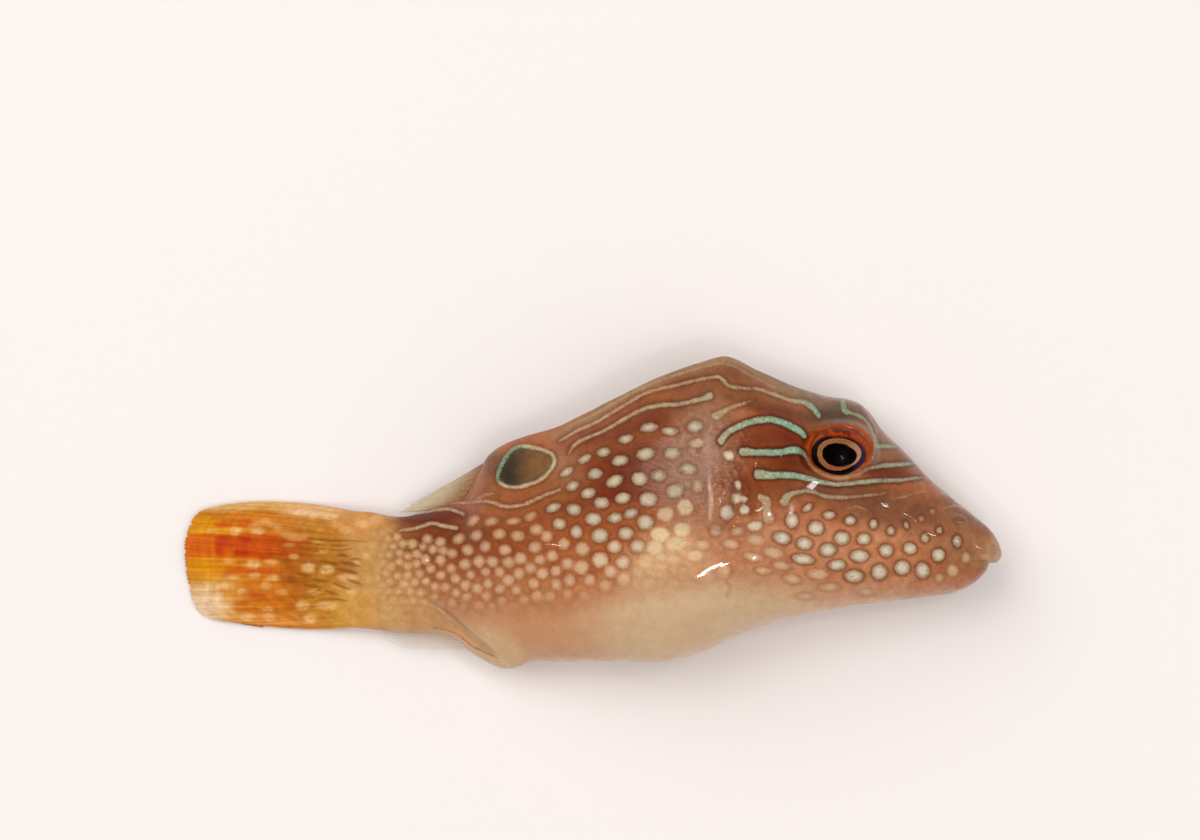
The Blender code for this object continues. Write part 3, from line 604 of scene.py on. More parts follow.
# %% Small spots scattered over the rear flank
SCATTER_SEED, SCATTER_TRIES, SCATTER_ROUNDS, SCATTER_PUSH = 11, 9000, 60, 1.6
SCATTER_ACROSS, SCATTER_DOWN = (372, 725), (530, 610)
SCATTER_PITCH = [(372, 7.6), (400, 9.2), (470, 11.2), (560, 13.4), (640, 15.6), (725, 17)]
SCATTER_TOP = [
    (372, 532), (400, 536), (440, 546), (500, 553), (560, 562), (620, 572), (700, 570), (725, 566),
]
SCATTER_FADE = [(372, 606), (420, 612), (480, 613), (560, 606), (640, 592), (700, 584), (725, 580)]


def scatter_spots(fixed):
    """Places at least a pitch apart and clear of the fixed spots, then nudged apart a few times."""
    draw = np.random.default_rng(SCATTER_SEED)
    fixed = np.array([spot[:2] for spot in fixed])
    found = np.zeros((0, 2))
    for _ in range(SCATTER_TRIES):
        x = draw.uniform(*SCATTER_ACROSS)
        y = draw.uniform(*SCATTER_DOWN)
        if not read_off(x, SCATTER_TOP) < y < read_off(x, SCATTER_FADE) + 6:
            continue
        everyone = np.concatenate((fixed, found))
        if np.hypot(*(everyone - (x, y)).T).min() > 0.84 * read_off(x, SCATTER_PITCH):
            found = np.concatenate((found, [(x, y)]))
    for _ in range(SCATTER_ROUNDS):
        everyone = np.concatenate((found, fixed))
        gap = found[:, None] - everyone[None]
        far = np.hypot(gap[..., 0], gap[..., 1])
        push = np.clip(1.06 - far / read_off(found[:, 0], SCATTER_PITCH)[:, None], 0, None) * (far > 0)
        away = gap / np.maximum(far, 1e-6)[..., None]
        found = found + SCATTER_PUSH * np.sum(away * push[..., None], axis=1)
    count = len(found)
    size = read_off(found[:, 0], SCATTER_PITCH) * draw.uniform(0.38, 0.46, count)
    shape, turn = draw.uniform(0.93, 1.07, count), draw.uniform(-40, 40, count)
    return [(x, y, r * k, r / k, t) for (x, y), r, k, t in zip(found, size, shape, turn)]


small_spots = scatter_spots([spot for group in SPOT_GROUPS for spot in group[0]])
print("small spots scattered:", len(small_spots))

# %% [markdown]
# ## Lines
# Each line is a stroke: place, half its width in pixels, and how blue it is, from 0, pale tan, to 1,
# blue-green. The two numbers before it say how dark its edges are and how far it covers the ground.

# %% The lines of the back, the stripes round the eye, and the ring of the ocellus
LINES = [
    # The first line is a painted highlight along the ridge of the back.
    (0.1, 0.5, [
        (570, 426, 0.5, 0), (600, 411, 0.8, 0), (640, 389, 0.9, 0), (680, 374, 0.9, 0),
        (715, 364, 0.9, 0), (732, 366, 0.9, 0), (755, 378, 0.7, 0), (776, 388, 0.4, 0),
    ]),
    (0.5, 0.82, [
        (560, 441, 0.6, 0), (575, 432, 1.2, 0), (590, 425, 1.4, 0), (615, 411, 1.4, 0),
        (645, 393.5, 1.5, 0), (680, 384.5, 1.5, 0), (700, 379.5, 1.5, 0), (717, 376.5, 1.7, 0.1),
        (723, 380, 1.8, 0.1), (729, 386, 1.8, 0.2), (745, 388.5, 1.5, 0), (760, 389.5, 1.4, 0.1),
        (790, 400, 1.6, 0.4), (803, 401.5, 2, 0.7), (812, 407, 2.3, 0.9), (819, 416, 2, 1),
    ]),
    (0.6, 0.85, [
        (569, 453, 1.0, 0), (576, 444, 1.6, 0), (590, 436.5, 1.6, 0), (605, 430, 1.6, 0),
        (633, 414, 1.7, 0.1), (646, 408, 1.8, 0.1), (662, 405, 2, 0.2), (680, 404, 1.8, 0.2),
        (700, 399.5, 2, 0.3), (709, 396, 3.8, 0.4),
    ]),
    (0.4, 0.7, [
        (716, 416, 4.2, 0.4), (723, 412, 2.8, 0.2), (732, 407, 2, 0.1), (745, 403, 1.5, 0),
        (753, 401, 0.6, 0),
    ]),
    (1.0, 0.94, [
        (721, 440.5, 3.8, 0.3), (726, 434, 2.8, 0.5), (735, 428, 2.7, 0.6), (752, 421.5, 2.7, 0.8),
        (765, 419.5, 2.8, 0.9), (777, 421, 2.8, 1), (790, 426, 3, 1), (800, 431.5, 2.8, 1),
        (805, 437, 1.6, 1),
    ]),
    (1.0, 0.94, [
        (743, 452, 4.3, 0.4), (750, 452, 3.3, 0.6), (762, 452.5, 2.9, 0.8), (780, 452, 2.9, 1),
        (795, 450, 3, 1), (803, 453, 2, 0.8), (807, 458, 1.2, 0.5),
    ]),
    (0.3, 0.5, [
        (806, 457, 1.2, 0.4), (815, 469, 1.5, 0), (826, 475.5, 1.5, 0), (841, 478, 1.5, 0),
        (857, 475, 1.4, 0), (867, 469.5, 1.2, 0.1),
    ]),
    (0.8, 0.85, [
        (865, 469.5, 0.8, 0.2), (873, 467.5, 1.5, 0.4), (885, 465.5, 1.8, 0.6), (900, 464.5, 1.7, 0.8),
        (914, 463.5, 0.8, 0.8),
    ]),
    (0.9, 0.92, [
        (758, 474, 4.5, 0.5), (768, 475, 3.7, 0.7), (780, 475, 3.1, 0.9), (795, 475.5, 2.7, 1),
        (810, 479, 2.3, 0.9), (825, 483, 2, 0.7), (840, 484.5, 1.8, 0.6), (860, 482.5, 1.8, 0.6),
        (880, 480.5, 1.7, 0.7), (900, 480, 1.5, 0.7), (921, 477.5, 0.7, 0.6),
    ]),
    (0.35, 0.7, [
        (784, 502, 4.4, 0.3), (788, 496, 3, 0.5), (798, 492, 1.9, 0.4), (812, 491.5, 1.5, 0.3),
        (824, 496, 1.7, 0.4), (840, 497.5, 1.5, 0.3), (862, 496, 1.1, 0.1), (886, 493, 0.5, 0),
    ]),
    (0.3, 0.75, [
        (760, 497, 3.2, 0.1), (766, 501, 5.2, 0.1), (767, 510, 4.4, 0.1), (768.5, 518, 6.4, 0.1),
    ]),
    (0.2, 0.62, [
        (843, 402, 2.2, 0.9), (845, 411, 2.4, 0.9), (852, 413.5, 1.5, 0.8), (863, 418.5, 1.4, 0.7),
        (870, 427, 1.3, 0.7), (874, 438, 1.3, 0.6), (874.5, 449, 1.2, 0.5), (872.5, 459, 1, 0.3),
    ]),
    (0.5, 0.75, [(877, 446, 1.6, 0.9), (886, 446, 1.7, 0.9), (896, 447, 0.8, 0.9)]),
    (0.0, 0.5, [(893, 499, 0.6, 0), (905, 496.5, 0.9, 0), (915, 493, 0.9, 0), (926, 491, 0.5, 0)]),
    (0.0, 0.5, [(935, 498, 0.5, 0), (941, 494, 0.9, 0), (947, 492, 0.5, 0)]),
    (0.0, 0.5, [(944, 508.5, 0.5, 0), (955, 505.5, 0.9, 0), (964, 507.5, 0.5, 0)]),
    (0.0, 0.5, [(848, 508, 0.5, 0), (857, 506.5, 0.9, 0), (866, 510, 0.5, 0)]),
    (0.5, 0.85, [
        (449, 503, 0.6, 0), (470, 502.5, 1.1, 0), (487, 501.5, 1.3, 0), (496, 503.5, 1.6, 0),
        (502, 506, 1.6, 0), (512, 506.5, 1.7, 0), (526, 504, 1.6, 0), (545, 495, 1.5, 0),
        (560, 489.5, 1, 0),
    ]),
    (0.2, 0.6, [(478, 498, 0.6, 0), (486, 494.5, 1.0, 0), (495, 493, 0.6, 0)]),
    (0.7, 0.8, [
        (402, 516.5, 0.6, 0), (418, 513, 1.0, 0), (434, 510.5, 1.3, 0), (450, 509.5, 1.5, 0),
        (463, 514, 2.1, 0),
    ]),
    (0.5, 0.85, [
        (400, 530.5, 1.4, 0), (417, 528, 1.7, 0), (432, 523.5, 2, 0), (443, 526, 1.9, 0),
        (456, 528, 2.4, 0),
    ]),
]
OCELLUS_LOOP = [
    (498, 480.5), (506, 486), (519, 487), (538, 481), (550.5, 470), (554.5, 459.5), (549, 452.5),
    (534, 447.5), (520, 446), (511.5, 450.5), (504.5, 459.5), (499, 471),
]
OCELLUS_MIDDLE, OCELLUS_RING, OCELLUS_EDGE, OCELLUS_COVER = (524, 466), 1.5, 0.5, 0.9
RING_TAN, RING_GREEN = (182, 162, 130), (96, 140, 118)
# The colours of a pale and of a blue line, and their share of the widths in the list
PALE_LINE, BLUE_LINE, PALE_SHARE, BLUE_SHARE = (180, 148, 114), (120, 164, 144), 0.8, 0.96
print("lines:", len(LINES))


# %% Colours of the screen, and closed outlines
def rgb(colour):
    """A colour of the screen, 0 to 255, as the linear numbers that shaders use."""
    share = np.asarray(colour, float) / 255
    return np.where(share <= 0.04045, share / 12.92, ((share + 0.055) / 1.055) ** 2.4)


def polar_radius(loop, middle, across, down):
    """The radius of a closed outline round its middle, in the direction of each place."""
    curve = curve_through(loop, closed=True)
    angle = np.arctan2(curve[:, 1] - middle[1], curve[:, 0] - middle[0])
    radius = np.hypot(curve[:, 0] - middle[0], curve[:, 1] - middle[1])
    return np.interp(np.arctan2(down - middle[1], across - middle[0]), angle, radius, period=math.tau)


print("rust as a shader's numbers:", np.round(rgb((166, 98, 58)), 3))


# %% The same markings on both sides, with the left side's a little off their places
def other_side(across, down, is_left):
    """The left side's markings wander a little from the right side's, as on a real fish."""
    shift_x = 5 * np.sin(down / 31 + 1) + 4 * np.sin(across / 47 + 2)
    shift_y = 4 * np.sin(across / 37 + 0.5) + 3 * np.sin(down / 23 + across / 90)
    calm = ease(ellipse_share(across, down, OPENING_CENTRE, (90, 70)) - 0.6)
    return across + shift_x * calm * is_left, down + shift_y * calm * is_left


is_left = (skin_side < 0) * ease((skin_height - belly_line(skin_station)) / 2)
is_left = is_left * ease((back_line(skin_station) - skin_height) / 2)
mark_x, mark_y = other_side(skin_across, skin_down, is_left)
print("points whose markings wander:", int((is_left > 0).sum()))

# %% From lines to numbers on the skin's points
UNMARKED = -9.0
line_inside = np.full(mark_x.shape, UNMARKED)
line_edge, line_cover = np.zeros(mark_x.shape), np.zeros(mark_x.shape)
line_colour = np.tile(rgb(PALE_LINE), (len(mark_x), 1))
for edge, cover, points in LINES:
    curve = curve_through(points)
    half = curve[:, 2] * (PALE_SHARE + (BLUE_SHARE - PALE_SHARE) * np.clip(2 * curve[:, 3], 0, 1))
    inside = stroke_distance(mark_x, mark_y, curve, half)
    nearer = inside > line_inside
    line_inside = np.where(nearer, inside, line_inside)
    line_edge, line_cover = np.where(nearer, edge, line_edge), np.where(nearer, cover, line_cover)
    blue = np.interp(mark_x, *curve[np.argsort(curve[:, 0])][:, [0, 3]].T)[:, None]
    line_colour = np.where(nearer[:, None], rgb(PALE_LINE) * (1 - blue) + rgb(BLUE_LINE) * blue, line_colour)
print("points inside a line:", int((line_inside > 0).sum()))

# %% The ocellus, and its ring as one more line
to_side, to_foot = mark_x - OCELLUS_MIDDLE[0], mark_y - OCELLUS_MIDDLE[1]
ocellus_inside = polar_radius(OCELLUS_LOOP, OCELLUS_MIDDLE, mark_x, mark_y) - np.hypot(to_side, to_foot)
loop = curve_through(OCELLUS_LOOP, closed=True)
loop = np.concatenate((loop, loop[:1]))
ring_inside = stroke_distance(mark_x, mark_y, loop, np.full(len(loop), OCELLUS_RING))
upper_left = ease((-6 - to_side - 0.6 * to_foot) / 14)[:, None]
nearer = ring_inside > line_inside
line_inside = np.where(nearer, ring_inside, line_inside)
line_edge, line_cover = np.where(nearer, OCELLUS_EDGE, line_edge), np.where(nearer, OCELLUS_COVER, line_cover)
ring_colour = rgb(RING_TAN) * (1 - upper_left) + rgb(RING_GREEN) * upper_left
line_colour = np.where(nearer[:, None], ring_colour, line_colour)
print("points inside the ocellus:", int((ocellus_inside > 0).sum()))

# %% From spots to numbers on the skin's points
TINT_SEED, SPOT_REACH, SMALL_SPOTS = 23, 22, (small_spots, TAN, 0.8, 0.25, 1.0)
LOW_SPOT, REARMOST_SPOT = (202, 156, 120), (204, 160, 108)
LOW_SPOT_LINE = [
    (372, 520), (470, 530), (560, 512), (640, 528), (725, 540), (780, 552), (900, 572), (1000, 560),
]
spot_inside = np.full(mark_x.shape, UNMARKED)
spot_colour = np.tile(rgb(TAN), (len(mark_x), 1))
spot_cover, spot_edge = np.zeros(mark_x.shape), np.zeros(mark_x.shape)
tint = np.random.default_rng(TINT_SEED)
for group, colour, cover, edge, size in [*SPOT_GROUPS, SMALL_SPOTS]:
    for x, y, wide, high, *turn in group:
        near = np.flatnonzero((abs(mark_x - x) < SPOT_REACH) & (abs(mark_y - y) < SPOT_REACH))
        share = ellipse_share(mark_x[near], mark_y[near], (x, y), (wide * size, high * size), *turn)
        inside = (1 - share) * math.sqrt(wide * high) * size
        near, inside = near[inside > spot_inside[near]], inside[inside > spot_inside[near]]
        low = float(ease((y - read_off(x, LOW_SPOT_LINE)) / 46))
        here = rgb(colour) * (1 - low) + rgb(LOW_SPOT) * low
        spot_inside[near] = inside
        spot_colour[near] = here * tint.uniform(0.9, 1.1) * tint.uniform(0.97, 1.03, 3)
        spot_cover[near] = cover
        spot_edge[near] = edge
rearward = ease((450 - mark_x) / 80)[:, None]
spot_colour = spot_colour * (1 - rearward) + rgb(REARMOST_SPOT) * rearward
faded = ease((read_off(mark_x, SCATTER_FADE) + 8 - mark_y) / 30) * ease((mark_x - 362) / 34)
faded = np.where((mark_x < SCATTER_ACROSS[1]) & (mark_y > 520), faded, 1.0)
spot_cover, spot_edge = spot_cover * faded, spot_edge * faded
print("points inside a spot:", int((spot_inside > 0).sum()))

# %% [markdown]
# ## The ground colour
# Under the markings the skin changes slowly from rust on the flank to olive on the back, violet on the
# muzzle and beige on the belly. It is laid on as a painter would with an airbrush: one soft patch over
# another, each with a named place, size and colour.

# %% Airbrush patches, from the first laid to the last
FLANK_GROUND, STALK_GROUND = (166, 98, 58), (190, 144, 88)
PATCHES = [
    # colour, middle, half sizes, turn, softness, strength
    ((114, 42, 4), (606, 478), (80, 36), -20, 0.7, 0.92),    # rust between the upper flank's spots
    ((98, 28, 0), (628, 470), (36, 19), -20, 0.9, 0.75),
    ((162, 88, 40), (560, 545), (90, 30), -6, 0.8, 0.75),     # lighter rust below it
    ((172, 106, 62), (600, 566), (60, 16), -6, 0.9, 0.7),
    ((134, 66, 14), (470, 540), (66, 22), -8, 0.8, 0.8),      # brown between the rear spots
    ((106, 44, 0), (436, 536), (36, 13), -8, 0.9, 0.75),
    ((158, 94, 50), (480, 584), (70, 18), -4, 0.9, 0.7),
    ((136, 74, 28), (655, 412), (105, 22), -24, 0.7, 0.9),    # the back above the spots
    ((114, 46, 8), (640, 424), (60, 8), -20, 0.9, 0.75),
    ((126, 72, 30), (712, 374), (60, 12), 0, 0.8, 0.75),      # the top of the back
    ((150, 88, 44), (535, 492), (62, 18), -12, 0.7, 0.8),     # round the ocellus
    ((160, 112, 82), (566, 468), (14, 18), -30, 0.9, 0.7),
    ((140, 84, 38), (487, 482), (11, 17), -25, 0.8, 0.8),     # brown behind the ocellus, and its dark edge
    ((104, 64, 24), (494, 464), (13, 16), -45, 0.7, 0.9),
    ((104, 38, 2), (432, 518), (40, 7.5), -5, 0.7, 1.0),      # the dark line on the tail stalk
    ((182, 120, 80), (520, 590), (90, 14), -2, 0.8, 0.8),     # paler and pinker low on the flank
    ((200, 158, 108), (396, 606), (40, 24), 0, 0.8, 0.9),     # the pale low stalk
    ((220, 186, 146), (668, 556), (42, 22), -25, 0.9, 0.9),   # the yellow patch behind the fin
    ((196, 150, 114), (700, 556), (36, 20), 0, 0.9, 0.7),
    ((186, 132, 102), (775, 545), (46, 30), 0, 0.9, 0.75),    # the rear cheek
    ((194, 134, 100), (855, 548), (84, 34), -4, 0.8, 0.9),    # the cheek
    ((200, 150, 118), (850, 594), (96, 14), -4, 0.9, 0.6),
    ((150, 112, 92), (702, 452), (30, 52), 10, 0.8, 0.9),     # the grey pink haze over the fin's root
    ((158, 120, 104), (684, 470), (40, 26), 0, 0.9, 0.55),
    ((164, 110, 80), (722, 502), (20, 36), 0, 0.8, 0.75),     # the fleshy lobe of the fin
    ((124, 62, 24), (758, 484), (42, 22), 0, 0.8, 0.8),       # the rust over the cheek
    ((116, 50, 20), (770, 440), (42, 20), 0, 0.7, 0.9),       # red behind the eye
    ((96, 34, 0), (793, 463), (26, 12), 0, 0.8, 0.9),
    ((96, 24, 2), (795, 440), (16, 6), 20, 0.8, 0.7),
    ((98, 34, 4), (772, 409), (34, 8), 14, 0.8, 0.85),        # the dark band over the first stripe
    ((126, 78, 42), (748, 394), (36, 9), 10, 0.8, 0.7),
    ((122, 102, 76), (803, 391), (42, 9), 20, 0.8, 0.9),      # the grey nape
    ((76, 60, 34), (836, 415), (34, 13), 0, 0.8, 0.95),       # the dome over the eye
    ((104, 62, 22), (876, 446), (9, 32), 0, 0.8, 0.75),       # in front of the eye
    ((132, 80, 38), (897, 456), (26, 13), 35, 0.8, 0.85),
    ((116, 40, 0), (886, 472), (28, 5.5), 3, 0.7, 0.95),      # the orange band between two stripes
    ((114, 64, 34), (830, 490), (50, 7), 0, 0.8, 0.85),
    ((124, 80, 58), (884, 508), (62, 18), 12, 0.8, 0.95),     # the violet muzzle
    ((124, 72, 44), (925, 512), (26, 12), 20, 0.9, 0.6),
    ((150, 104, 74), (965, 540), (32, 30), 30, 0.8, 0.85),    # the snout
    ((118, 76, 48), (962, 514), (26, 6), 38, 0.9, 0.7),       # its dark upper edge
    ((168, 130, 100), (992, 552), (15, 18), 20, 0.7, 0.9),    # its tip
]
PAINT_STROKES = [
    # colour, softness, strength, stroke
    ((152, 126, 92), 6, 0.7, [
        (556, 434, 3), (600, 410, 5), (640, 386, 6), (690, 366, 6), (732, 360, 5), (770, 381, 4),
    ]),
    ((186, 158, 148), 5, 0.5, [(703, 422, 0.5), (706, 440, 2.5), (709, 456, 4), (709, 470, 1.5)]),
    # The dark red strokes round the gill slit: the gills' own red, deepened with painted shade in the slit.
    ((120, 56, 20), 6, 0.8, [
        (733, 463, 1.2), (741, 473, 3), (747, 486, 4), (750, 498, 3.4), (749, 511, 2),
    ]),
    ((116, 44, 12), 3, 0.7, [(741, 476, 0.6), (744, 483, 1.6), (742, 489, 0.6)]),
    ((112, 44, 12), 3, 0.75, [(750, 484, 0.8), (749.5, 492, 1.8), (747, 498, 0.8)]),
    ((138, 60, 24), 4, 0.7, [(752, 503, 2), (755, 509, 4), (752, 516, 2)]),
    # A painted highlight along the root of the side fin's rays, where light catches the fleshy lobe.
    ((230, 204, 188), 1.6, 0.85, [
        (709, 472, 0.4), (709.5, 484, 0.9), (711.5, 500, 1.2), (710, 520, 0.4),
    ]),
    # Painted shade in the cleft of the mouth.
    ((112, 72, 50), 2.2, 0.7, [(991, 562, 1.0), (984, 561, 0.8), (974, 561, 0.4)]),
    ((196, 160, 138), 4, 0.7, [(1001, 553, 1.5), (994, 559, 2), (982, 556, 1.5)]),
    ((112, 74, 44), 3, 0.75, [(978, 521, 0.6), (992, 531, 1), (999, 543, 1), (1003, 556, 0.8)]),
    # Painted shade in the nostril's pit.
    ((104, 64, 42), 2, 0.5, [(953, 520, 2.6), (958, 521.5, 3.2), (963, 523, 2.6)]),
    ((176, 136, 106), 1.2, 0.7, [(954, 521, 0.7), (958, 521.5, 1.1), (962, 522.5, 0.7)]),
    # A painted highlight along the ridge of the fold behind the belly.
    ((222, 192, 158), 2, 0.7, [
        (420, 600, 0.6), (437, 608, 1), (450, 618, 1.2), (465, 631, 1.2), (484, 646, 1), (509, 666, 1),
    ]),
]


BELLY_TOP = [
    (372, 632), (420, 622), (480, 606), (560, 600), (640, 584),
    (700, 574), (790, 580), (830, 592), (900, 600), (1004, 602),
]
BELLY, BELLY_ROSE, BELLY_PALE, THROAT, BELLY_REAR = (
    (200, 158, 118), (194, 142, 106), (202, 172, 142), (208, 166, 134), (202, 166, 130),
)
PALE_BELLY_PLACE, REAR_BELLY_PLACE = ((705, 625), (100, 50)), ((500, 652), (30, 16), 35)
UPPER_LID, LOWER_LID = (164, 66, 12), (164, 104, 68)


def lay(ground, colour, weight):
    """Paints a colour over the ground, as far as each point's weight says."""
    return ground + (rgb(colour) - ground) * np.clip(weight, 0, 1)[:, None]


def patch_weight(share, soft, strength):
    """How far a soft patch covers, from its middle, where the share is 0, over its edge, where it is 1."""
    return strength * ease((1 + soft - share) / (2 * soft))


print("patches and painted strokes:", len(PATCHES), "and", len(PAINT_STROKES))


# %% The tail fin's colours, which run on over its stalk
TAIL_GROUND = (208, 120, 30)
TAIL_PATCHES = [
    # colour, middle, half sizes, turn, softness, strength
    ((193, 156, 106), (395, 575), (36, 70), 0, 0.8, 0.97),    # tan over the stalk
    ((196, 154, 92), (352, 572), (24, 64), 0, 0.8, 0.9),
    ((190, 130, 54), (322, 572), (24, 60), 0, 0.8, 0.9),      # olive at the root
    ((172, 92, 14), (298, 568), (18, 40), 0, 0.8, 0.75),
    ((166, 98, 20), (338, 568), (26, 12), 8, 0.9, 0.6),
    ((208, 158, 76), (352, 612), (20, 20), 0, 0.8, 0.7),
    ((224, 180, 132), (312, 511), (36, 8), 5, 0.7, 0.9),      # the pale upper margin
    ((200, 132, 66), (332, 527), (46, 7), 3, 0.8, 0.7),
    ((206, 146, 88), (372, 517), (26, 6), 6, 0.8, 0.7),
    ((226, 178, 116), (240, 505), (56, 6), -3, 0.7, 0.9),
    ((224, 150, 88), (262, 622), (48, 8), 4, 0.8, 0.8),       # the peach lower margin
    ((230, 188, 128), (212, 598), (28, 20), 10, 0.7, 0.95),   # the clear lower corner
    ((240, 208, 172), (203, 608), (18, 14), 20, 0.8, 0.85),
    ((206, 108, 16), (262, 597), (26, 10), 0, 0.8, 0.7),
]
TAIL_BLOCKS = [
    # the same with squarer ends: the bands and blocks of red, orange and yellow between the rays
    ((228, 150, 10), (202, 522), (15, 7), 0, 0.4, 0.95),
    ((214, 96, 0), (223, 525), (9, 3.5), 0, 0.6, 0.9),
    ((212, 96, 6), (246, 524.5), (8, 3.8), 0, 0.6, 0.9),
    ((216, 122, 30), (235, 515), (8, 2), 0, 0.7, 0.8), ((216, 130, 46), (262, 515), (9, 2), 0, 0.7, 0.8),
    ((212, 142, 46), (264, 509), (4, 2.6), 0, 0.7, 0.6),
    ((234, 160, 22), (214, 531), (28, 3), 0, 0.5, 1.0),
    ((206, 80, 0), (240, 546.5), (58, 11.5), 0, 0.3, 1.0),
    ((178, 82, 2), (288, 549), (16, 12), 0, 0.8, 0.8),
    ((226, 108, 0), (196, 546.5), (14, 11.5), 0, 0.3, 0.95),
    ((226, 122, 0), (213, 547), (2.4, 10.5), 0, 0.9, 0.7),
    ((198, 58, 0), (223, 543), (8, 6.5), 0, 0.6, 0.85),
    ((192, 50, 0), (245, 539.5), (6, 4), 0, 0.7, 0.85),
    ((194, 50, 0), (242, 554.5), (8, 4.4), 0, 0.5, 0.9),
    ((206, 104, 0), (231, 553), (3.4, 4.6), 0, 0.8, 0.7),
    ((190, 60, 0), (265, 556.5), (6.4, 3), 0, 0.6, 0.85), ((200, 84, 0), (256, 547), (2, 9), 0, 0.9, 0.5),
    ((238, 162, 8), (214, 559.5), (30, 1.6), 0, 0.7, 0.9),
    ((230, 150, 4), (206, 568), (22, 7), 0, 0.5, 0.95), ((222, 128, 6), (234, 566), (14, 7), 0, 0.9, 0.7),
    ((204, 82, 0), (254, 571), (27, 2.6), 2, 0.6, 0.9),
    ((222, 148, 14), (208, 579), (18, 2.4), 3, 0.7, 0.8),
    ((216, 126, 20), (228, 590.5), (12, 1.6), 0, 0.8, 0.75),
    ((218, 136, 22), (230, 595), (6, 2.6), 0, 0.8, 0.7), ((196, 92, 0), (257, 596), (8, 3), 4, 0.7, 0.85),
    ((200, 100, 8), (243, 603.5), (7.4, 2.2), 0, 0.6, 0.9),
    ((204, 106, 18), (247, 609.5), (11, 2.2), 2, 0.6, 0.85),
    ((196, 104, 18), (270, 603.5), (8.4, 1.8), 3, 0.7, 0.85),
    ((176, 96, 4), (290, 603.5), (6.4, 3.4), 0, 0.7, 0.8),
    ((150, 78, 4), (291, 580), (6, 3), 10, 0.8, 0.8), ((150, 76, 4), (287, 561), (5, 2.4), 0, 0.8, 0.7),
]
TAIL_CREASE = [
    (250, 527, 2), (257, 524, 2.8), (265, 522, 3), (274, 525.5, 3), (281, 531, 3.2), (289, 536, 4),
    (300, 537, 3.6), (308, 535, 1.6),
]
TAIL_SPOTS = [
    # place, half sizes and strength of the pale spots
    (211, 530.5, 5, 1.8, 0.6), (235.5, 531, 6, 4, 0.9), (258, 531, 6.4, 3.8, 0.9),
    (229.5, 561, 6, 2.2, 0.7), (253, 564.5, 7.6, 4, 0.9), (271, 562, 7, 2.6, 0.6),
    (232.5, 577, 6, 2, 0.6), (255, 575.5, 5.6, 2.8, 0.8), (273, 578, 6, 3, 0.7),
    (226, 584.5, 4, 3.4, 0.5), (242, 591, 5, 2.6, 0.7), (266, 585.5, 5.4, 4, 0.6),
    (247, 617, 6.6, 4.2, 0.8), (268.5, 609, 5.6, 2.4, 0.6), (269, 617.5, 6, 4, 0.7),
    (308.5, 567.5, 6.6, 5, 0.95), (327, 569.5, 6.8, 4.4, 0.95), (347, 578, 10, 4, 0.8),
    (356, 563, 3, 2.4, 0.8), (303, 605.5, 6.6, 5, 0.8), (327, 606, 10.5, 4.4, 0.8),
    (310.6, 618.5, 6.6, 5, 0.75), (294, 556.5, 4.6, 3, 0.7), (300, 511, 10, 4, 0.8),
    (336, 524, 8, 3.6, 0.6), (346, 530, 7, 3.6, 0.6), (362, 524, 7.4, 4, 0.75), (377, 519.5, 7, 4.4, 0.7),
    (330, 517, 8, 2.6, 0.6), (320, 541.5, 6, 1.4, 0.5), (314, 592, 7, 3, 0.5), (338, 587, 7, 2.6, 0.5),
    (352, 592, 5.6, 3, 0.5), (372, 545, 5, 3.6, 0.4), (388, 531, 4, 3.4, 0.4), (366, 556, 4, 3.4, 0.4),
    (379, 565, 4, 3.6, 0.5), (388, 565, 3.6, 5, 0.5), (370, 579, 4, 3.8, 0.5), (380, 576, 3.8, 4.2, 0.55),
    (391, 577, 3.6, 3.8, 0.55), (383, 552, 3.6, 4.6, 0.5), (395, 553, 3.6, 4.6, 0.55),
    (366, 590, 5, 3.4, 0.35), (378, 589, 4, 3.4, 0.4), (392, 589, 4, 3.4, 0.4), (289, 545, 6, 2, 0.4),
    (282, 592, 6, 3, 0.5), (322, 552, 6, 2, 0.4),
]
TAIL_DASHES = [
    [(308, 537.6, 0.3), (318, 539.4, 1.0), (333, 540.6, 1.1), (348, 540.6, 0.6), (366, 541.8, 0.3)],
    [(331, 545, 0.3), (339, 545.6, 1.0), (348, 545, 0.3)],
    [(337, 556, 0.6), (342, 555, 1.7), (348, 556.4, 0.6)],
    [(311, 559.6, 0.3), (322, 561.4, 1.0), (334, 563.6, 1.4), (339, 564.6, 0.4)],
    [(340, 562, 0.5), (347, 563.4, 1.8), (354, 564.6, 1.9), (359, 566, 0.6)],
    [(351, 559.6, 0.4), (356, 558.6, 0.8), (361, 560, 0.4)],
    [(336, 569, 0.4), (345, 570.4, 1.5), (353, 572.4, 1.6), (358, 573.4, 0.4)],
    [(346, 579, 0.3), (353, 581.4, 1.5), (361, 584, 0.5)],
    [(312, 579, 0.4), (320, 580.4, 1.3), (329, 581.4, 0.4)],
    [(333, 583, 0.4), (342, 586.6, 1.2), (351, 589.6, 0.4)],
    [(325, 590.6, 0.4), (331, 592.6, 1.4), (338, 594.6, 0.4)],
    [(296, 572, 0.4), (303, 575, 1.3), (311, 576, 0.4)],
    [(318, 600, 0.3), (334, 599, 0.9), (348, 601, 0.3)],
    [(330, 549.6, 0.3), (340, 550.4, 0.7), (352, 548.6, 0.3)],
    [(300, 548, 0.3), (312, 549.4, 0.8), (324, 548.6, 0.3)],
    [(302, 584, 0.3), (310, 586, 0.9), (320, 587, 0.3)],
]
TAIL_DARK, TAIL_PALE, TAIL_PEACH = (128, 62, 0), (234, 190, 134), (222, 158, 106)
TAIL_DARK_COVER, TAIL_PALE_COVER, TAIL_PEACH_COVER = 0.66, 0.74, 0.62
# The wet oranges are deeper than paint can be: they are multiplied by this where there is little blue
TAIL_DEPTH, LITTLE_BLUE = (0.91, 0.9, 0.5), 0.24


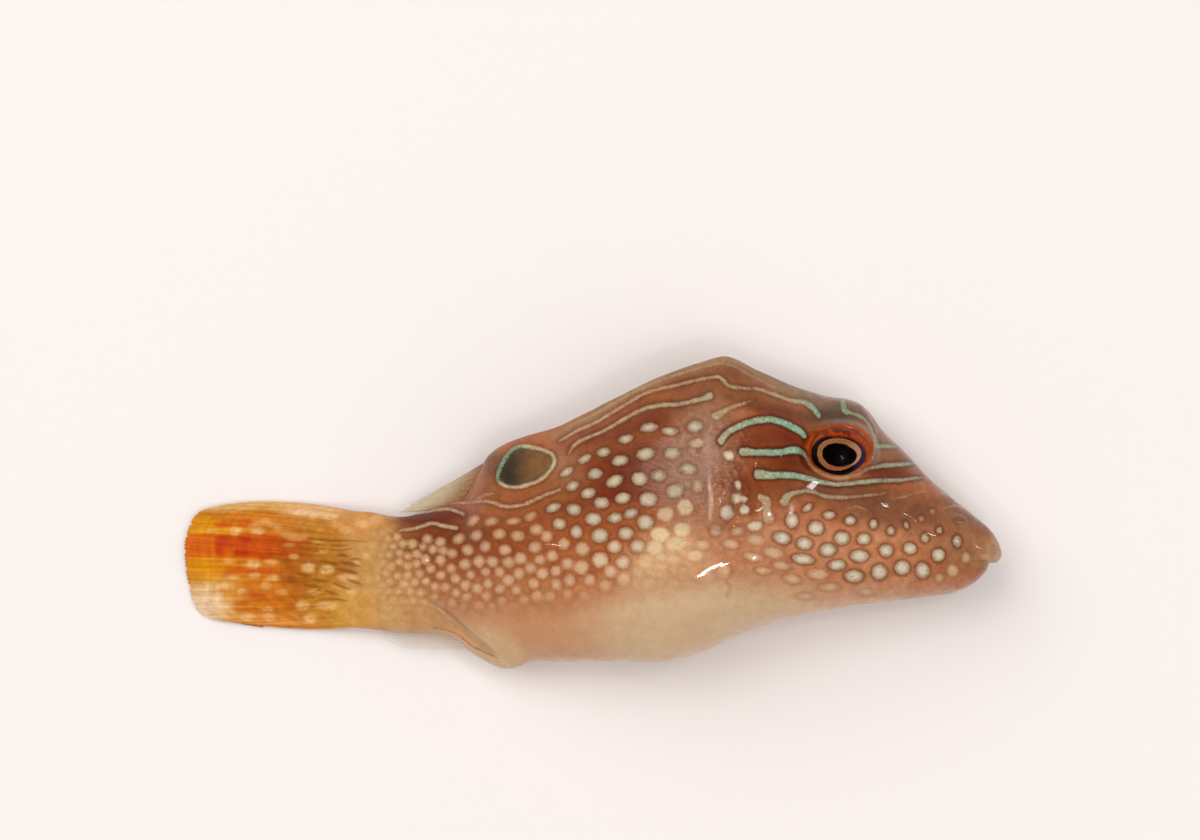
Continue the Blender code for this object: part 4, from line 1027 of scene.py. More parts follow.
def tail_colours(x, y):
    """The colours of the tail fin and of the stalk's end, for places of the picture."""
    colours = np.tile(rgb(TAIL_GROUND), (len(x), 1))
    for colour, middle, sizes, turn, soft, strength in TAIL_PATCHES:
        share = ellipse_share(x, y, middle, sizes, turn)
        colours = lay(colours, colour, patch_weight(share, soft, strength))
    for colour, middle, sizes, turn, soft, strength in TAIL_BLOCKS:
        slope = math.tan(math.radians(turn)) * (x - middle[0])
        share = (((x - middle[0]) / sizes[0]) ** 4 + ((y - middle[1] - slope) / sizes[1]) ** 4) ** 0.25
        colours = lay(colours, colour, patch_weight(share, soft, strength))
    crease = ease((inside_stroke(x, y, TAIL_CREASE) + 2.4) / 4.4)
    colours = lay(colours, TAIL_PEACH, TAIL_PEACH_COVER * crease)
    for spot_x, spot_y, wide, high, strength in TAIL_SPOTS:
        share = ellipse_share(x, y, (spot_x, spot_y), (wide, high))
        colours = lay(colours, TAIL_PALE, TAIL_PALE_COVER * strength * ease(1.5 - share))
    for points in TAIL_DASHES:
        dash = ease((inside_stroke(x, y, points) + 1.3) / 2.3)
        colours = lay(colours, TAIL_DARK, TAIL_DARK_COVER * dash)
    deep = ease((356 - x) / 30) * ease((LITTLE_BLUE - colours[:, 2]) / 0.2)
    return colours * (1 - deep[:, None] * (1 - np.array(TAIL_DEPTH)))


print("patches of the tail:", len(TAIL_PATCHES + TAIL_BLOCKS))
print("spots and dashes of the tail:", len(TAIL_SPOTS), "and", len(TAIL_DASHES))

# %% Lay the skin's patches
ground = np.tile(rgb(FLANK_GROUND), (len(mark_x), 1))
ground = lay(ground, STALK_GROUND, ease((430 - mark_x) / 44))
for colour, middle, sizes, turn, soft, strength in PATCHES:
    share = ellipse_share(mark_x, mark_y, middle, sizes, turn)
    ground = lay(ground, colour, patch_weight(share, soft, strength))
belly = ease((mark_y - read_off(mark_x, BELLY_TOP) + 22) / 50)
belly_colour = np.tile(rgb(BELLY), (len(mark_x), 1))
for colour, weight in (
    (BELLY_ROSE, ease(1.5 - abs(mark_x - 550) / 70)),
    (BELLY_PALE, ease(1.6 - ellipse_share(mark_x, mark_y, *PALE_BELLY_PLACE))),
    (THROAT, ease((mark_x - 790) / 60)),
    (BELLY_REAR, ease(1.6 - ellipse_share(mark_x, mark_y, *REAR_BELLY_PLACE))),
):
    belly_colour = lay(belly_colour, colour, weight)
ground = ground + (belly_colour - ground) * belly[:, None]
for colour, soft, strength, points in PAINT_STROKES:
    inside = inside_stroke(skin_across, skin_down, points)
    ground = lay(ground, colour, strength * ease((inside + soft) / (2 * soft)))
lid_share = ellipse_share(mark_x, mark_y, OPENING_CENTRE, OPENING_RADII)
upper_lid = ease((462 - mark_y) / 16)
ground = lay(ground, UPPER_LID, 0.85 * ease((1.17 - lid_share) / 0.12) * upper_lid)
ground = lay(ground, LOWER_LID, 0.75 * ease((1.12 - lid_share) / 0.1) * (1 - upper_lid))
to_tail = ease((404 - mark_x) / 40)
ground = ground + (tail_colours(mark_x, mark_y) - ground) * to_tail[:, None]
print("the ground's mean colour:", np.round(ground.mean(axis=0), 2))


# %% Keep all of it on the skin's points
def keep_number(piece, name, values):
    """One number for each point of the piece, under a name that a material can read."""
    layer = piece.data.attributes.new(name, "FLOAT", "POINT")
    layer.data.foreach_set("value", np.asarray(values, np.float32).ravel())


def keep_colour(piece, name, values):
    """One colour for each point of the piece, in the same way."""
    full = np.concatenate((values, np.ones((len(values), 1))), axis=1)
    layer = piece.data.attributes.new(name, "FLOAT_COLOR", "POINT")
    layer.data.foreach_set("color", np.asarray(full, np.float32).ravel())


HAZE_PLACE, FARTHEST_INSIDE = ((706, 462), (34, 52), 8), 30
COLOUR_LAYERS = {"ground": ground, "spot_colour": spot_colour, "line_colour": line_colour}
NUMBER_LAYERS = {
    "spot_inside": spot_inside, "spot_cover": spot_cover, "spot_edge": spot_edge,
    "line_inside": line_inside, "line_edge": line_edge, "line_cover": line_cover,
    "ocellus_inside": ocellus_inside, "mottle": 0.28 - 0.2 * belly - 0.08 * to_tail,
    "shoulder_haze": ease(1.5 - ellipse_share(mark_x, mark_y, *HAZE_PLACE)),
}
for name, values in COLOUR_LAYERS.items():
    keep_colour(skin, name, values)
for name, values in NUMBER_LAYERS.items():
    keep_number(skin, name, np.clip(values, UNMARKED, FARTHEST_INSIDE))
print("layers on the skin:", [*COLOUR_LAYERS, *NUMBER_LAYERS])

# %% [markdown]
# ## Shader helpers and shared effects
# Three effects are node groups, each built once: a crisp edge made from a distance, which every mark of the
# skin uses, a mottling that breaks up a flat colour, which every wet material uses, and the fine grain of a
# skin with tiny prickles. Their outputs are only masks, colours and heights. Each material keeps its shader.


# %% Short ways to add nodes
def add_node(tree, kind, sockets=None, **settings):
    """A new node. A socket's value is a number, a colour, or another node's output to link from."""
    made = tree.nodes.new(kind)
    for name, value in settings.items():
        setattr(made, name, value)
    for key, value in (sockets or {}).items():
        if isinstance(value, bpy.types.NodeSocket):
            tree.links.new(value, made.inputs[key])
        else:
            made.inputs[key].default_value = value
    return made


def calculate(tree, operation, first, second=0.0):
    return add_node(tree, "ShaderNodeMath", {0: first, 1: second}, operation=operation).outputs[0]


def blend_colours(tree, share, first, second, way="MIX"):
    node = add_node(tree, "ShaderNodeMix", {0: share, 6: first, 7: second}, data_type="RGBA", blend_type=way)
    return node.outputs[2]


def remap(tree, value, low, high, to_low=0.0, to_high=1.0, way="SMOOTHSTEP"):
    sockets = {0: value, 1: low, 2: high, 3: to_low, 4: to_high}
    return add_node(tree, "ShaderNodeMapRange", sockets, interpolation_type=way).outputs[0]


def read_layer(tree, name, output="Fac"):
    return add_node(tree, "ShaderNodeAttribute", attribute_name=name).outputs[output]


def new_group(name, inputs, outputs):
    """An empty node group with named sockets, and its two ends."""
    tree = bpy.data.node_groups.new(name, "ShaderNodeTree")
    for label, kind, value in inputs:
        socket = tree.interface.new_socket(label, in_out="INPUT", socket_type=f"NodeSocket{kind}")
        if value is not None:
            socket.default_value = value
    for label, kind in outputs:
        tree.interface.new_socket(label, in_out="OUTPUT", socket_type=f"NodeSocket{kind}")
    start, end = tree.nodes.new("NodeGroupInput"), tree.nodes.new("NodeGroupOutput")
    return tree, start.outputs, end.inputs


def use_group(tree, group, sockets):
    return add_node(tree, "ShaderNodeGroup", sockets, node_tree=group)


def paint(colour):
    """A colour of the screen as a socket wants it, with nothing see-through."""
    return (*rgb(colour), 1)


def tinted(tree, share, colour, tint):
    """A colour multiplied by a tint, as far as the share says."""
    return blend_colours(tree, share, colour, blend_colours(tree, 1.0, colour, (*tint, 1), "MULTIPLY"))


def brownish(tree, gain, green_power, blue_power):
    """A tint that turns brown where the gain is low, because green and blue fall faster than red."""
    green, blue = (calculate(tree, "POWER", gain, power) for power in (green_power, blue_power))
    return add_node(tree, "ShaderNodeCombineColor", {0: gain, 1: green, 2: blue}).outputs[0]


def fill_ramp(ramp, stops):
    """Gives a colour ramp its stops: each a position from 0 to 1, and a shader's colour."""
    elements = ramp.color_ramp.elements
    while len(elements) < len(stops):
        elements.new(0.5)
    for element, (position, colour) in zip(elements, stops):
        element.position, element.color = position, (*colour, 1)


def object_place(tree):
    """The place on the piece in millimetres, so that patterns have real sizes."""
    place = add_node(tree, "ShaderNodeTexCoord").outputs["Object"]
    return add_node(tree, "ShaderNodeVectorMath", {0: place, "Scale": 1 / MM}, operation="SCALE").outputs[0]


def noise(tree, place, size, detail=3.0):
    """Noise whose blotches are about size millimetres across."""
    sockets = {"Vector": place, "Scale": 1 / size, "Detail": detail}
    return add_node(tree, "ShaderNodeTexNoise", sockets).outputs["Fac"]


print("the skin's rust on a socket:", np.round(paint(FLANK_GROUND), 3))

# %% The first shared group: a crisp edge made from a distance
crisp_edge, crisp_in, crisp_out = new_group(
    "crisp_edge",
    [("Inside", "Float", 0), ("Softness", "Float", 0.6), ("Wobble", "Float", 0.5)],
    [("Mask", "Float")],
)
place = object_place(crisp_edge)
wobble = calculate(crisp_edge, "ADD", noise(crisp_edge, place, 0.16, 2.0), noise(crisp_edge, place, 0.5, 1.0))
wobble = calculate(crisp_edge, "MULTIPLY", calculate(crisp_edge, "SUBTRACT", wobble, 1.0), crisp_in["Wobble"])
level = calculate(crisp_edge, "ADD", crisp_in["Inside"], wobble)
minus_soft = calculate(crisp_edge, "MULTIPLY", crisp_in["Softness"], -1.0)
crisp_edge.links.new(remap(crisp_edge, level, minus_soft, crisp_in["Softness"]), crisp_out["Mask"])

# %% The second: mottling, which darkens towards brown as pigment does
mottling, mottling_in, mottling_out = new_group(
    "mottling",
    [("Colour", "Color", None), ("Size", "Float", 0.5), ("Amount", "Float", 0.3)],
    [("Colour", "Color")],
)
place = object_place(mottling)
size = calculate(mottling, "DIVIDE", 1.0, mottling_in["Size"])
sockets = {"Vector": place, "Scale": size, "Detail": 5.0, "Roughness": 0.62}
cloud = add_node(mottling, "ShaderNodeTexNoise", sockets)
freckle = calculate(mottling, "MULTIPLY", noise(mottling, place, 0.09, 1.0), 0.5)
both = calculate(mottling, "ADD", cloud.outputs["Fac"], freckle)
gain = remap(mottling, both, 0.45, 1.05, -1.0, 1.0, "LINEAR")
gain = calculate(mottling, "ADD", calculate(mottling, "MULTIPLY", gain, mottling_in["Amount"]), 1.0)
mixed = blend_colours(mottling, 1.0, mottling_in["Colour"], brownish(mottling, gain, 1.25, 1.5), "MULTIPLY")
mottling.links.new(mixed, mottling_out["Colour"])

# %% The third: the fine grain of the prickles
fine_grain, grain_in, grain_out = new_group(
    "fine_grain", [("Size", "Float", 0.12)], [("Height", "Float"), ("Roughness", "Float")]
)
place = object_place(fine_grain)
size = calculate(fine_grain, "DIVIDE", 1.0, grain_in["Size"])
prickle = add_node(fine_grain, "ShaderNodeTexVoronoi", {"Vector": place, "Scale": size, "Randomness": 0.9})
bumps = remap(fine_grain, prickle.outputs["Distance"], 0.0, 0.6, 1.0, 0.0)
total = calculate(fine_grain, "ADD", bumps, noise(fine_grain, place, 0.5, 4.0))
fine_grain.links.new(total, grain_out["Height"])
roughness = remap(fine_grain, noise(fine_grain, place, 0.8), 0.3, 0.7, 0.3, 0.5)
fine_grain.links.new(roughness, grain_out["Roughness"])
print("shared groups:", [group.name for group in (crisp_edge, mottling, fine_grain)])


# %% Start a material
WATER_IOR, FLESH_RADIUS, FLESH_DEPTH, BUMP_DEPTH = 1.35, (1.0, 0.45, 0.25), 0.0006, 0.00004


def new_material(name, roughness=0.4, coat=0.5, coat_roughness=0.06, specular=0.2, subsurface=0.0):
    """An empty material with its shader. What is the same all over is set here, on the shader itself."""
    material = bpy.data.materials.new(name)
    material.use_nodes = True
    shader = material.node_tree.nodes["Principled BSDF"]
    for socket, value in {
        "Roughness": roughness, "Coat Weight": coat, "Coat Roughness": coat_roughness, "Coat IOR": WATER_IOR,
        "Specular IOR Level": specular, "Subsurface Weight": subsurface,
        "Subsurface Radius": FLESH_RADIUS, "Subsurface Scale": FLESH_DEPTH,
    }.items():
        shader.inputs[socket].default_value = value
    return material, material.node_tree, shader


def finish_surface(tree, shader, colour, height, strength):
    """Colour and bump into the shader."""
    tree.links.new(colour, shader.inputs["Base Color"])
    bump = add_node(tree, "ShaderNodeBump", {"Strength": strength, "Distance": BUMP_DEPTH, "Height": height})
    tree.links.new(bump.outputs[0], shader.inputs["Normal"])


print("bump depth:", BUMP_DEPTH / MM, "mm")


# %% [markdown]
# ## The skin's finish
# From the ground up: the airbrushed ground with its mottling, the dark outlines, the pearly spots with a
# few dark freckles in them, the lines, and the ocellus. Over it all lies a thin wet film, which is the
# shader's coat.

# %% Start the skin's material: the ground
wet_skin, tree, shader = new_material(
    "wet_skin", roughness=0.42, coat=0.7, coat_roughness=0.05, subsurface=0.05
)
place = object_place(tree)
WARM_TINT, PINK_HAZE = (0.86, 0.62, 0.48), (176, 142, 132)


def crisp(value, softness, wobble):
    """A crisp edge in the material that is being made, the one called tree."""
    return use_group(tree, crisp_edge, {"Inside": value, "Softness": softness, "Wobble": wobble}).outputs[0]


def plus(first, second):
    return calculate(tree, "ADD", first, second)


def times(*factors):
    total = factors[0]
    for factor in factors[1:]:
        total = calculate(tree, "MULTIPLY", total, factor)
    return total


def mottled(colour, size, amount):
    return use_group(tree, mottling, {"Colour": colour, "Size": size, "Amount": amount}).outputs[0]


mottle = read_layer(tree, "mottle")
base = mottled(read_layer(tree, "ground", "Color"), 0.55, mottle)
warm = times(remap(tree, noise(tree, place, 1.6), 0.4, 0.62), mottle, 1.6)
base = tinted(tree, warm, base, WARM_TINT)
wisps = remap(tree, noise(tree, place, 0.3, 4.0), 0.45, 0.7, 0.0, 0.7)
base = blend_colours(tree, times(wisps, read_layer(tree, "shoulder_haze")), base, paint(PINK_HAZE))
print("nodes under the ground colour:", len(tree.nodes))

# %% Dark outlines: the crisp edge of a slightly larger mark, less the mark itself
SPOT_OUTLINE, LINE_OUTLINE, DEEPER_RUST = (0.38, 0.34, 0.3), (0.24, 0.1, 0.05), (0.78, 0.56, 0.4)
inside, cover, spot_edge = (read_layer(tree, "spot_" + name) for name in ("inside", "cover", "edge"))
line, line_cover, line_edge = (read_layer(tree, "line_" + name) for name in ("inside", "cover", "edge"))
spot_mask = crisp(inside, remap(tree, spot_edge, 0.2, 0.8, 2.4, 1.3, "LINEAR"), 2.4)
line_mask = crisp(line, 1.3, 1.8)
spot_rim = calculate(tree, "SUBTRACT", crisp(plus(inside, 2.1), 2.0, 2.4), spot_mask)
line_rim = calculate(tree, "SUBTRACT", crisp(plus(line, 2.6), 2.6, 2.2), line_mask)
base = tinted(tree, times(spot_rim, spot_edge, 0.92), base, SPOT_OUTLINE)
base = tinted(tree, times(line_rim, line_edge, 0.95), base, LINE_OUTLINE)
base = tinted(tree, times(remap(tree, inside, -6.0, -0.6, 0.0, 0.5), cover), base, DEEPER_RUST)
print("nodes up to the outlines:", len(tree.nodes))

# %% The spots: chalky, paler in the core, with a few dark freckles
CHALK_TINT, SPOT_CORE, FRECKLE = (0.84, 0.93, 0.96), (226, 216, 202), (84, 76, 62)
chalk = noise(tree, place, 0.14)
pearl = mottled(read_layer(tree, "spot_colour", "Color"), 0.3, 0.2)
pearl = tinted(tree, remap(tree, chalk, 0.42, 0.62, 0.0, 0.55), pearl, CHALK_TINT)
core = remap(tree, plus(inside, times(noise(tree, place, 0.25), 2.4)), 1.6, 6.0)
pearl = blend_colours(tree, times(core, plus(times(spot_edge, 0.62), 0.16)), pearl, paint(SPOT_CORE))
freckles = times(remap(tree, noise(tree, place, 0.19, 2.0), 0.62, 0.7, 0.0, 0.7), spot_edge)
pearl = blend_colours(tree, freckles, pearl, paint(FRECKLE))
base = blend_colours(tree, times(spot_mask, cover), base, pearl)
print("nodes up to the spots:", len(tree.nodes))

# %% The ocellus and the lines
OCELLUS_OLIVE, OCELLUS_BROWN, OCELLUS_RIM = (44, 30, 4), (122, 82, 42), (74, 72, 44)
STRIPE_CHALK = (206, 210, 190)
ocellus = read_layer(tree, "ocellus_inside")
ocellus_mask = crisp(calculate(tree, "SUBTRACT", ocellus, 0.5), 1.2, 1.2)
east = add_node(tree, "ShaderNodeSeparateXYZ", {0: place}).outputs["X"]
brown = blend_colours(tree, remap(tree, east, -5.2, -3.2), paint(OCELLUS_OLIVE), paint(OCELLUS_BROWN))
brown = blend_colours(tree, remap(tree, ocellus, 0.0, 8.0, 0.5, 0.0), brown, paint(OCELLUS_RIM))
base = blend_colours(tree, ocellus_mask, base, mottled(brown, 0.5, 0.34))
stripe = mottled(read_layer(tree, "line_colour", "Color"), 0.3, 0.3)
stripe = blend_colours(tree, remap(tree, chalk, 0.5, 0.64, 0.0, 0.5), stripe, paint(STRIPE_CHALK))
base = blend_colours(tree, times(line_mask, line_cover), base, stripe)
print("nodes up to the lines:", len(tree.nodes))

# %% Bump and shine, under the warm tint of the wet film
WET_TINT = (0.99, 0.95, 0.84)
base = blend_colours(tree, 1.0, base, (*WET_TINT, 1), "MULTIPLY")
grain = use_group(tree, fine_grain, {"Size": 0.13})
raised = times(plus(times(spot_mask, cover), line_mask), 0.5)
finish_surface(tree, shader, base, plus(grain.outputs["Height"], raised), 0.35)
tree.links.new(grain.outputs["Roughness"], shader.inputs["Roughness"])
skin.data.materials.append(wet_skin)
print("nodes in the skin's material:", len(tree.nodes))

# %% [markdown]
# ## The eyes
# A puffer's eye is a wide black pupil in a thin pale ring, then a near-black ring, then orange skin that
# covers the rest of the ball. The ball is a UV sphere whose pole is the middle of the pupil. The outlines
# are read from the picture, so each point of the ball gets a ring number: 0 in the middle, 1 on the pupil's
# edge, 2 on the pale ring's, 3 on the dark ring's and 4 where the orange ends.

# %% The rings of the eye
PUPIL_MIDDLE = (839.7, 455.0)
PUPIL_LOOP = [
    (821.9, 453), (825, 446.9), (831, 443.9), (841, 443.4), (849.5, 446.9), (855.8, 451.8), (857.2, 457),
    (853.5, 463), (846, 466.3), (837, 466.8), (829, 464.3), (824, 459.3),
]
IRIS_LOOP = [
    (817.1, 452.5), (819, 445.5), (825, 440.7), (832.6, 438.4), (841, 438.1), (849, 439.7),
    (856.3, 443.8), (860.9, 449.6), (861.3, 455.5), (857.5, 461.8), (850, 466.8), (842.3, 470),
    (834, 470.6), (826.5, 468.4), (820.5, 463.2), (817.7, 457.5),
]
DARK_LOOP = [
    (811.2, 452.5), (813, 446), (818, 440), (825.3, 437), (832, 436.3), (840, 436.6), (848, 438),
    (856, 441.7), (862.3, 447), (865.1, 453), (864.6, 459.5), (860, 466), (853, 471.3), (845, 474.6),
    (837, 475), (828, 472.6), (820, 468.8), (814.4, 464), (811.6, 458.5),
]
ORANGE_RADII, BALL_EDGE = (31, 25), (46, 40)
EYE_STOPS = [
    # ring number and colour
    (0.0, (3, 0, 0)), (0.95, (5, 1, 1)), (1.02, (70, 36, 16)), (1.14, (144, 98, 58)), (1.5, (130, 80, 44)),
    (1.88, (148, 96, 58)), (2.0, (50, 18, 12)), (2.12, (6, 1, 3)), (2.94, (10, 3, 3)), (3.06, (84, 20, 0)),
    (3.2, (148, 48, 0)), (3.6, (166, 58, 0)), (4.0, (132, 52, 6)), (4.6, (96, 50, 16)), (6.0, (78, 46, 22)),
]
RING_COUNT = 6.0
EYE_SEGMENTS, EYE_RINGS, IRIS_STEP, FLATTER = 128, 72, 0.03, 0.15
print("stops in the eye's ramp:", len(EYE_STOPS))


# %% Two eyeballs
def eye_numbers(points, side):
    """The ring number of each point of a ball, and how far up and ahead in the eye it lies, from -1 to 1."""
    lift = float(middle_lift(EYE_STATION))
    twin = points.copy()
    twin[:, 2] = lift + side * (points[:, 2] - lift)
    x, y = picture_place(twin)
    far = np.hypot(x - PUPIL_MIDDLE[0], y - PUPIL_MIDDLE[1])
    edges = [polar_radius(loop, PUPIL_MIDDLE, x, y) for loop in (PUPIL_LOOP, IRIS_LOOP, DARK_LOOP)]
    angle = np.arctan2(y - PUPIL_MIDDLE[1], x - PUPIL_MIDDLE[0])
    for wide, high in (ORANGE_RADII, BALL_EDGE):
        edges.append(1 / np.hypot(np.cos(angle) / wide, np.sin(angle) / high))
    inner, number = np.zeros(len(far)), np.zeros(len(far))
    for ring, outer in enumerate(edges):
        number += np.clip((far - inner) / np.maximum(outer - inner, 0.5), 0, 1) * (2.0 if ring == 4 else 1.0)
        inner = outer
    return number, -np.sin(angle), np.cos(angle)


def make_eye(name, side):
    """A ball with its pole at the middle of the pupil, and a clear front flatter than the rest."""
    eye = start_piece(name, add_sphere, segments=EYE_SEGMENTS, ring_count=EYE_RINGS, radius=1)
    middle, axes = eye_frame(side)
    ball = points_of(eye)
    points = middle + (ball * EYE_RADII) @ axes
    number = eye_numbers(points, side)[0]
    cornea = -FLATTER * ease((2.2 - number) / 2.0) - IRIS_STEP * bell((number - 3.05) / 0.16)
    points += (ball @ axes) * np.where(ball[:, 2] > 0, cornea, 0)[:, None]
    number, up, ahead = eye_numbers(points, side)
    put_points(eye, np.clip(points, solid_low, solid_high))
    outward(eye)
    layers = {"ring": np.where(ball[:, 2] > -0.2, number, RING_COUNT), "up": up, "ahead": ahead}
    for layer, values in layers.items():
        keep_number(eye, layer, values)
    return eye


eyes = [make_eye("eye_right_ball", 1), make_eye("eye_left_ball", -1)]
print("each eye has", triangles(eyes[0]), "triangles")

# %% The eye's material: the rings as a colour ramp, with blotches in the orange
wet_eye, tree, shader = new_material("wet_eye", roughness=0.3, coat=0.4, coat_roughness=0.02, specular=0.05)
ring = read_layer(tree, "ring")
place = object_place(tree)
uneven = times(calculate(tree, "SUBTRACT", noise(tree, place, 0.35), 0.5), 0.22)
ramp = add_node(tree, "ShaderNodeValToRGB", {0: calculate(tree, "DIVIDE", plus(ring, uneven), RING_COUNT)})
fill_ramp(ramp, [(number / RING_COUNT, rgb(colour)) for number, colour in EYE_STOPS])
up, ahead = read_layer(tree, "up"), read_layer(tree, "ahead")
base = ramp.outputs[0]
outer = remap(tree, ring, 2.95, 3.15)
in_dark = times(remap(tree, ring, 2.05, 2.2), remap(tree, ring, 2.8, 3.0, 1.0, 0.0))
in_iris = times(remap(tree, ring, 1.0, 1.15), remap(tree, ring, 1.85, 2.05, 1.0, 0.0))
blotch, cloud = noise(tree, place, 0.3, 4.0), noise(tree, place, 0.5, 2.0)
for share, colour in (
    (times(in_dark, remap(tree, ahead, 0.6, 1.0), 0.55), (58, 40, 78)),
    (times(in_dark, remap(tree, up, 0.86, 1.0), 0.6), (96, 38, 8)),
    (times(in_iris, remap(tree, up, -0.2, -0.95), 0.75), (136, 66, 40)),
    (times(in_iris, remap(tree, ahead, 0.6, 1.0), 0.6), (180, 134, 106)),
    (times(outer, remap(tree, up, -0.1, -0.7), 0.85), (156, 94, 56)),
    (times(outer, remap(tree, blotch, 0.46, 0.62), 0.6), (130, 36, 0)),
    (times(outer, remap(tree, cloud, 0.5, 0.6), remap(tree, up, 0.6, 0.95), 0.8), (70, 8, 2)),
):
    base = blend_colours(tree, share, base, paint(colour))
finish_surface(tree, shader, mottled(base, 0.25, 0.2), noise(tree, place, 0.2, 2.0), 0.08)
# The pupil mirrors little, so it stays deep black
tree.links.new(remap(tree, ring, 1.0, 3.2, 0.08, 0.45, "LINEAR"), shader.inputs["Coat Weight"])
for eye in eyes:
    eye.data.materials.append(wet_eye)
print("nodes in the eye's material:", len(tree.nodes))

# %% [markdown]
# ## The beak
# A puffer's teeth are fused into a beak. The closed lips leave only its worn edge to see, so each jaw gets
# one small curved plate. A cube is added at its size, cut into strips across, bent round the jaw, and its
# edges are rounded.

# %% Two tooth plates
BEAK_PLATES = [
    # name, station, height, half width across, half height, half depth
    ("beak_upper", 0.52, 0.27, 0.5, 0.17, 0.08), ("beak_lower", 0.98, 0.0, 0.46, 0.13, 0.08),
]
BEAK_CUTS, BEAK_BEND, BEAK_THINNER, BEAK_LOWER, BEAK_ROUNDING = 9, 0.75, 0.45, 0.3, 0.03
IVORY = (214, 196, 160)


def make_plate(name, station, height, across, high, deep):
    """A cube cut into strips, thinner towards its edge, lower at its ends, and bent round the jaw."""
    plate = start_piece(name, bpy.ops.mesh.primitive_cube_add, size=2)
    bpy.ops.object.mode_set(mode="EDIT")
    bpy.ops.mesh.select_all(action="SELECT")
    bpy.ops.mesh.subdivide(number_cuts=BEAK_CUTS)
    bpy.ops.object.mode_set(mode="OBJECT")
    x, y, z = points_of(plate).T
    forward = x * deep * (1 - BEAK_THINNER * abs(y)) - BEAK_BEND * (z * across) ** 2
    bent = np.stack((forward, y * high * (1 - BEAK_LOWER * z * z), z * across), axis=1)
    put_points(plate, lay_down(station, height, 0.0) + bent)
    rounded = plate.modifiers.new("rounded", "BEVEL")
    rounded.width, rounded.segments, rounded.limit_method = BEAK_ROUNDING * MM, 2, "ANGLE"
    bpy.ops.object.modifier_apply(modifier=rounded.name)
    outward(plate)
    return plate


plates = [make_plate(*row) for row in BEAK_PLATES]
tooth, tree, shader = new_material("tooth", roughness=0.25, coat=0.6)
bite = noise(tree, object_place(tree), 0.08, 2.0)
finish_surface(tree, shader, mottled(paint(IVORY), 0.25, 0.25), bite, 0.15)
for plate in plates:
    plate.data.materials.append(tooth)
print("plates of the beak:", len(plates))

# %% [markdown]
# ## The fins
# A fin is a thin web stretched over soft rays. Each ray is one rod at the root, splits in two and again
# in two towards the edge, and is made of short joints. A grid primitive is laid from the fin's root to its
# edge, and a Solidify modifier gives it its thickness, more over each ray and less over the web. The grid's
# own UV map runs across and along the rays, so streaks in the finish follow them.

# %% Lay out a fin
RAY_WIDTH, SPLIT_ONE, SPLIT_TWO, JOINTS = 0.15, 0.3, 0.62, 34


def shares_along(points, share):
    """Places at shares of the way along a smooth curve through the points."""
    points = np.array(points, float)
    place = np.clip(share, 0, 1) * (len(points) - 1)
    i = np.minimum(place.astype(int), len(points) - 2)
    before, after = points[np.maximum(i - 1, 0)], points[np.minimum(i + 2, len(points) - 1)]
    return spline_point(before, points[i], points[i + 1], after, (place - i)[..., None])


def ray_ridge(across, outward_share, rays, splits):
    """1 on the crest of a ray or of its branches, and 0 on the web between them."""
    place = across * rays
    local = place - np.floor(place) - 0.5
    one = 0.2 * ease((outward_share - SPLIT_ONE) / 0.45) if splits > 0 else 0 * local
    two = 0.1 * ease((outward_share - SPLIT_TWO) / 0.38) if splits > 1 else 0 * local
    ridge = 0 * local
    for first in (-1, 1):
        for second in (-1, 1):
            off_crest = (local - first * one - second * two) / RAY_WIDTH
            ridge = np.maximum(ridge, bell(off_crest * (1 + outward_share)))
    joint = 0.5 + 0.5 * np.cos(outward_share * JOINTS * math.tau)
    return ridge * (1 - 0.22 * ease((outward_share - 0.25) / 0.2) * joint**4)


def make_fin(name, root, edge, rays, surface, columns, rows, web, ray, splits, bow=0.0):
    """A fin between its root and its edge. web and ray are its thickness in millimetres."""
    add_grid = bpy.ops.mesh.primitive_grid_add
    fin = start_piece(name, add_grid, x_subdivisions=columns, y_subdivisions=rows, size=2)
    across, far, _ = (points_of(fin).T + 1) / 2
    ridge = ray_ridge(across, far, rays, splits)
    reach_out = far * (1 - 0.012 * (1 - ridge) * ease((far - 0.8) / 0.2))
    inner, outer = shares_along(root, across), shares_along(edge, across)
    place = inner + (outer - inner) * reach_out[:, None]
    # Soft fin edges bow outwards between the root and the tip
    place[:, 1] += bow * np.sin(math.pi * far) * (1 - 2 * across)
    put_points(fin, surface(place[:, 0], place[:, 1], far))
    thick = (web + (ray - web) * ridge * (1 - 0.45 * far)) * (1 - 0.5 * ease((far - 0.93) / 0.07))
    group = fin.vertex_groups.new(name="thickness")
    for i, weight in enumerate(np.clip(thick / ray, 0, 1)):
        group.add([i], float(weight), "REPLACE")
    keep_number(fin, "ridge", ridge)
    keep_number(fin, "far", far)
    wall = fin.modifiers.new("wall", "SOLIDIFY")
    wall.thickness, wall.offset, wall.use_rim = ray * MM, 0, True
    wall.vertex_group, wall.thickness_vertex_group = "thickness", 0.05
    return fin


def close_fin(fin):
    """Gives the fin its walls and turns its faces out."""
    only(fin)
    bpy.ops.object.modifier_apply(modifier="wall")
    fin.vertex_groups.clear()
    outward(fin)
    print(fin.name, triangles(fin), "triangles")


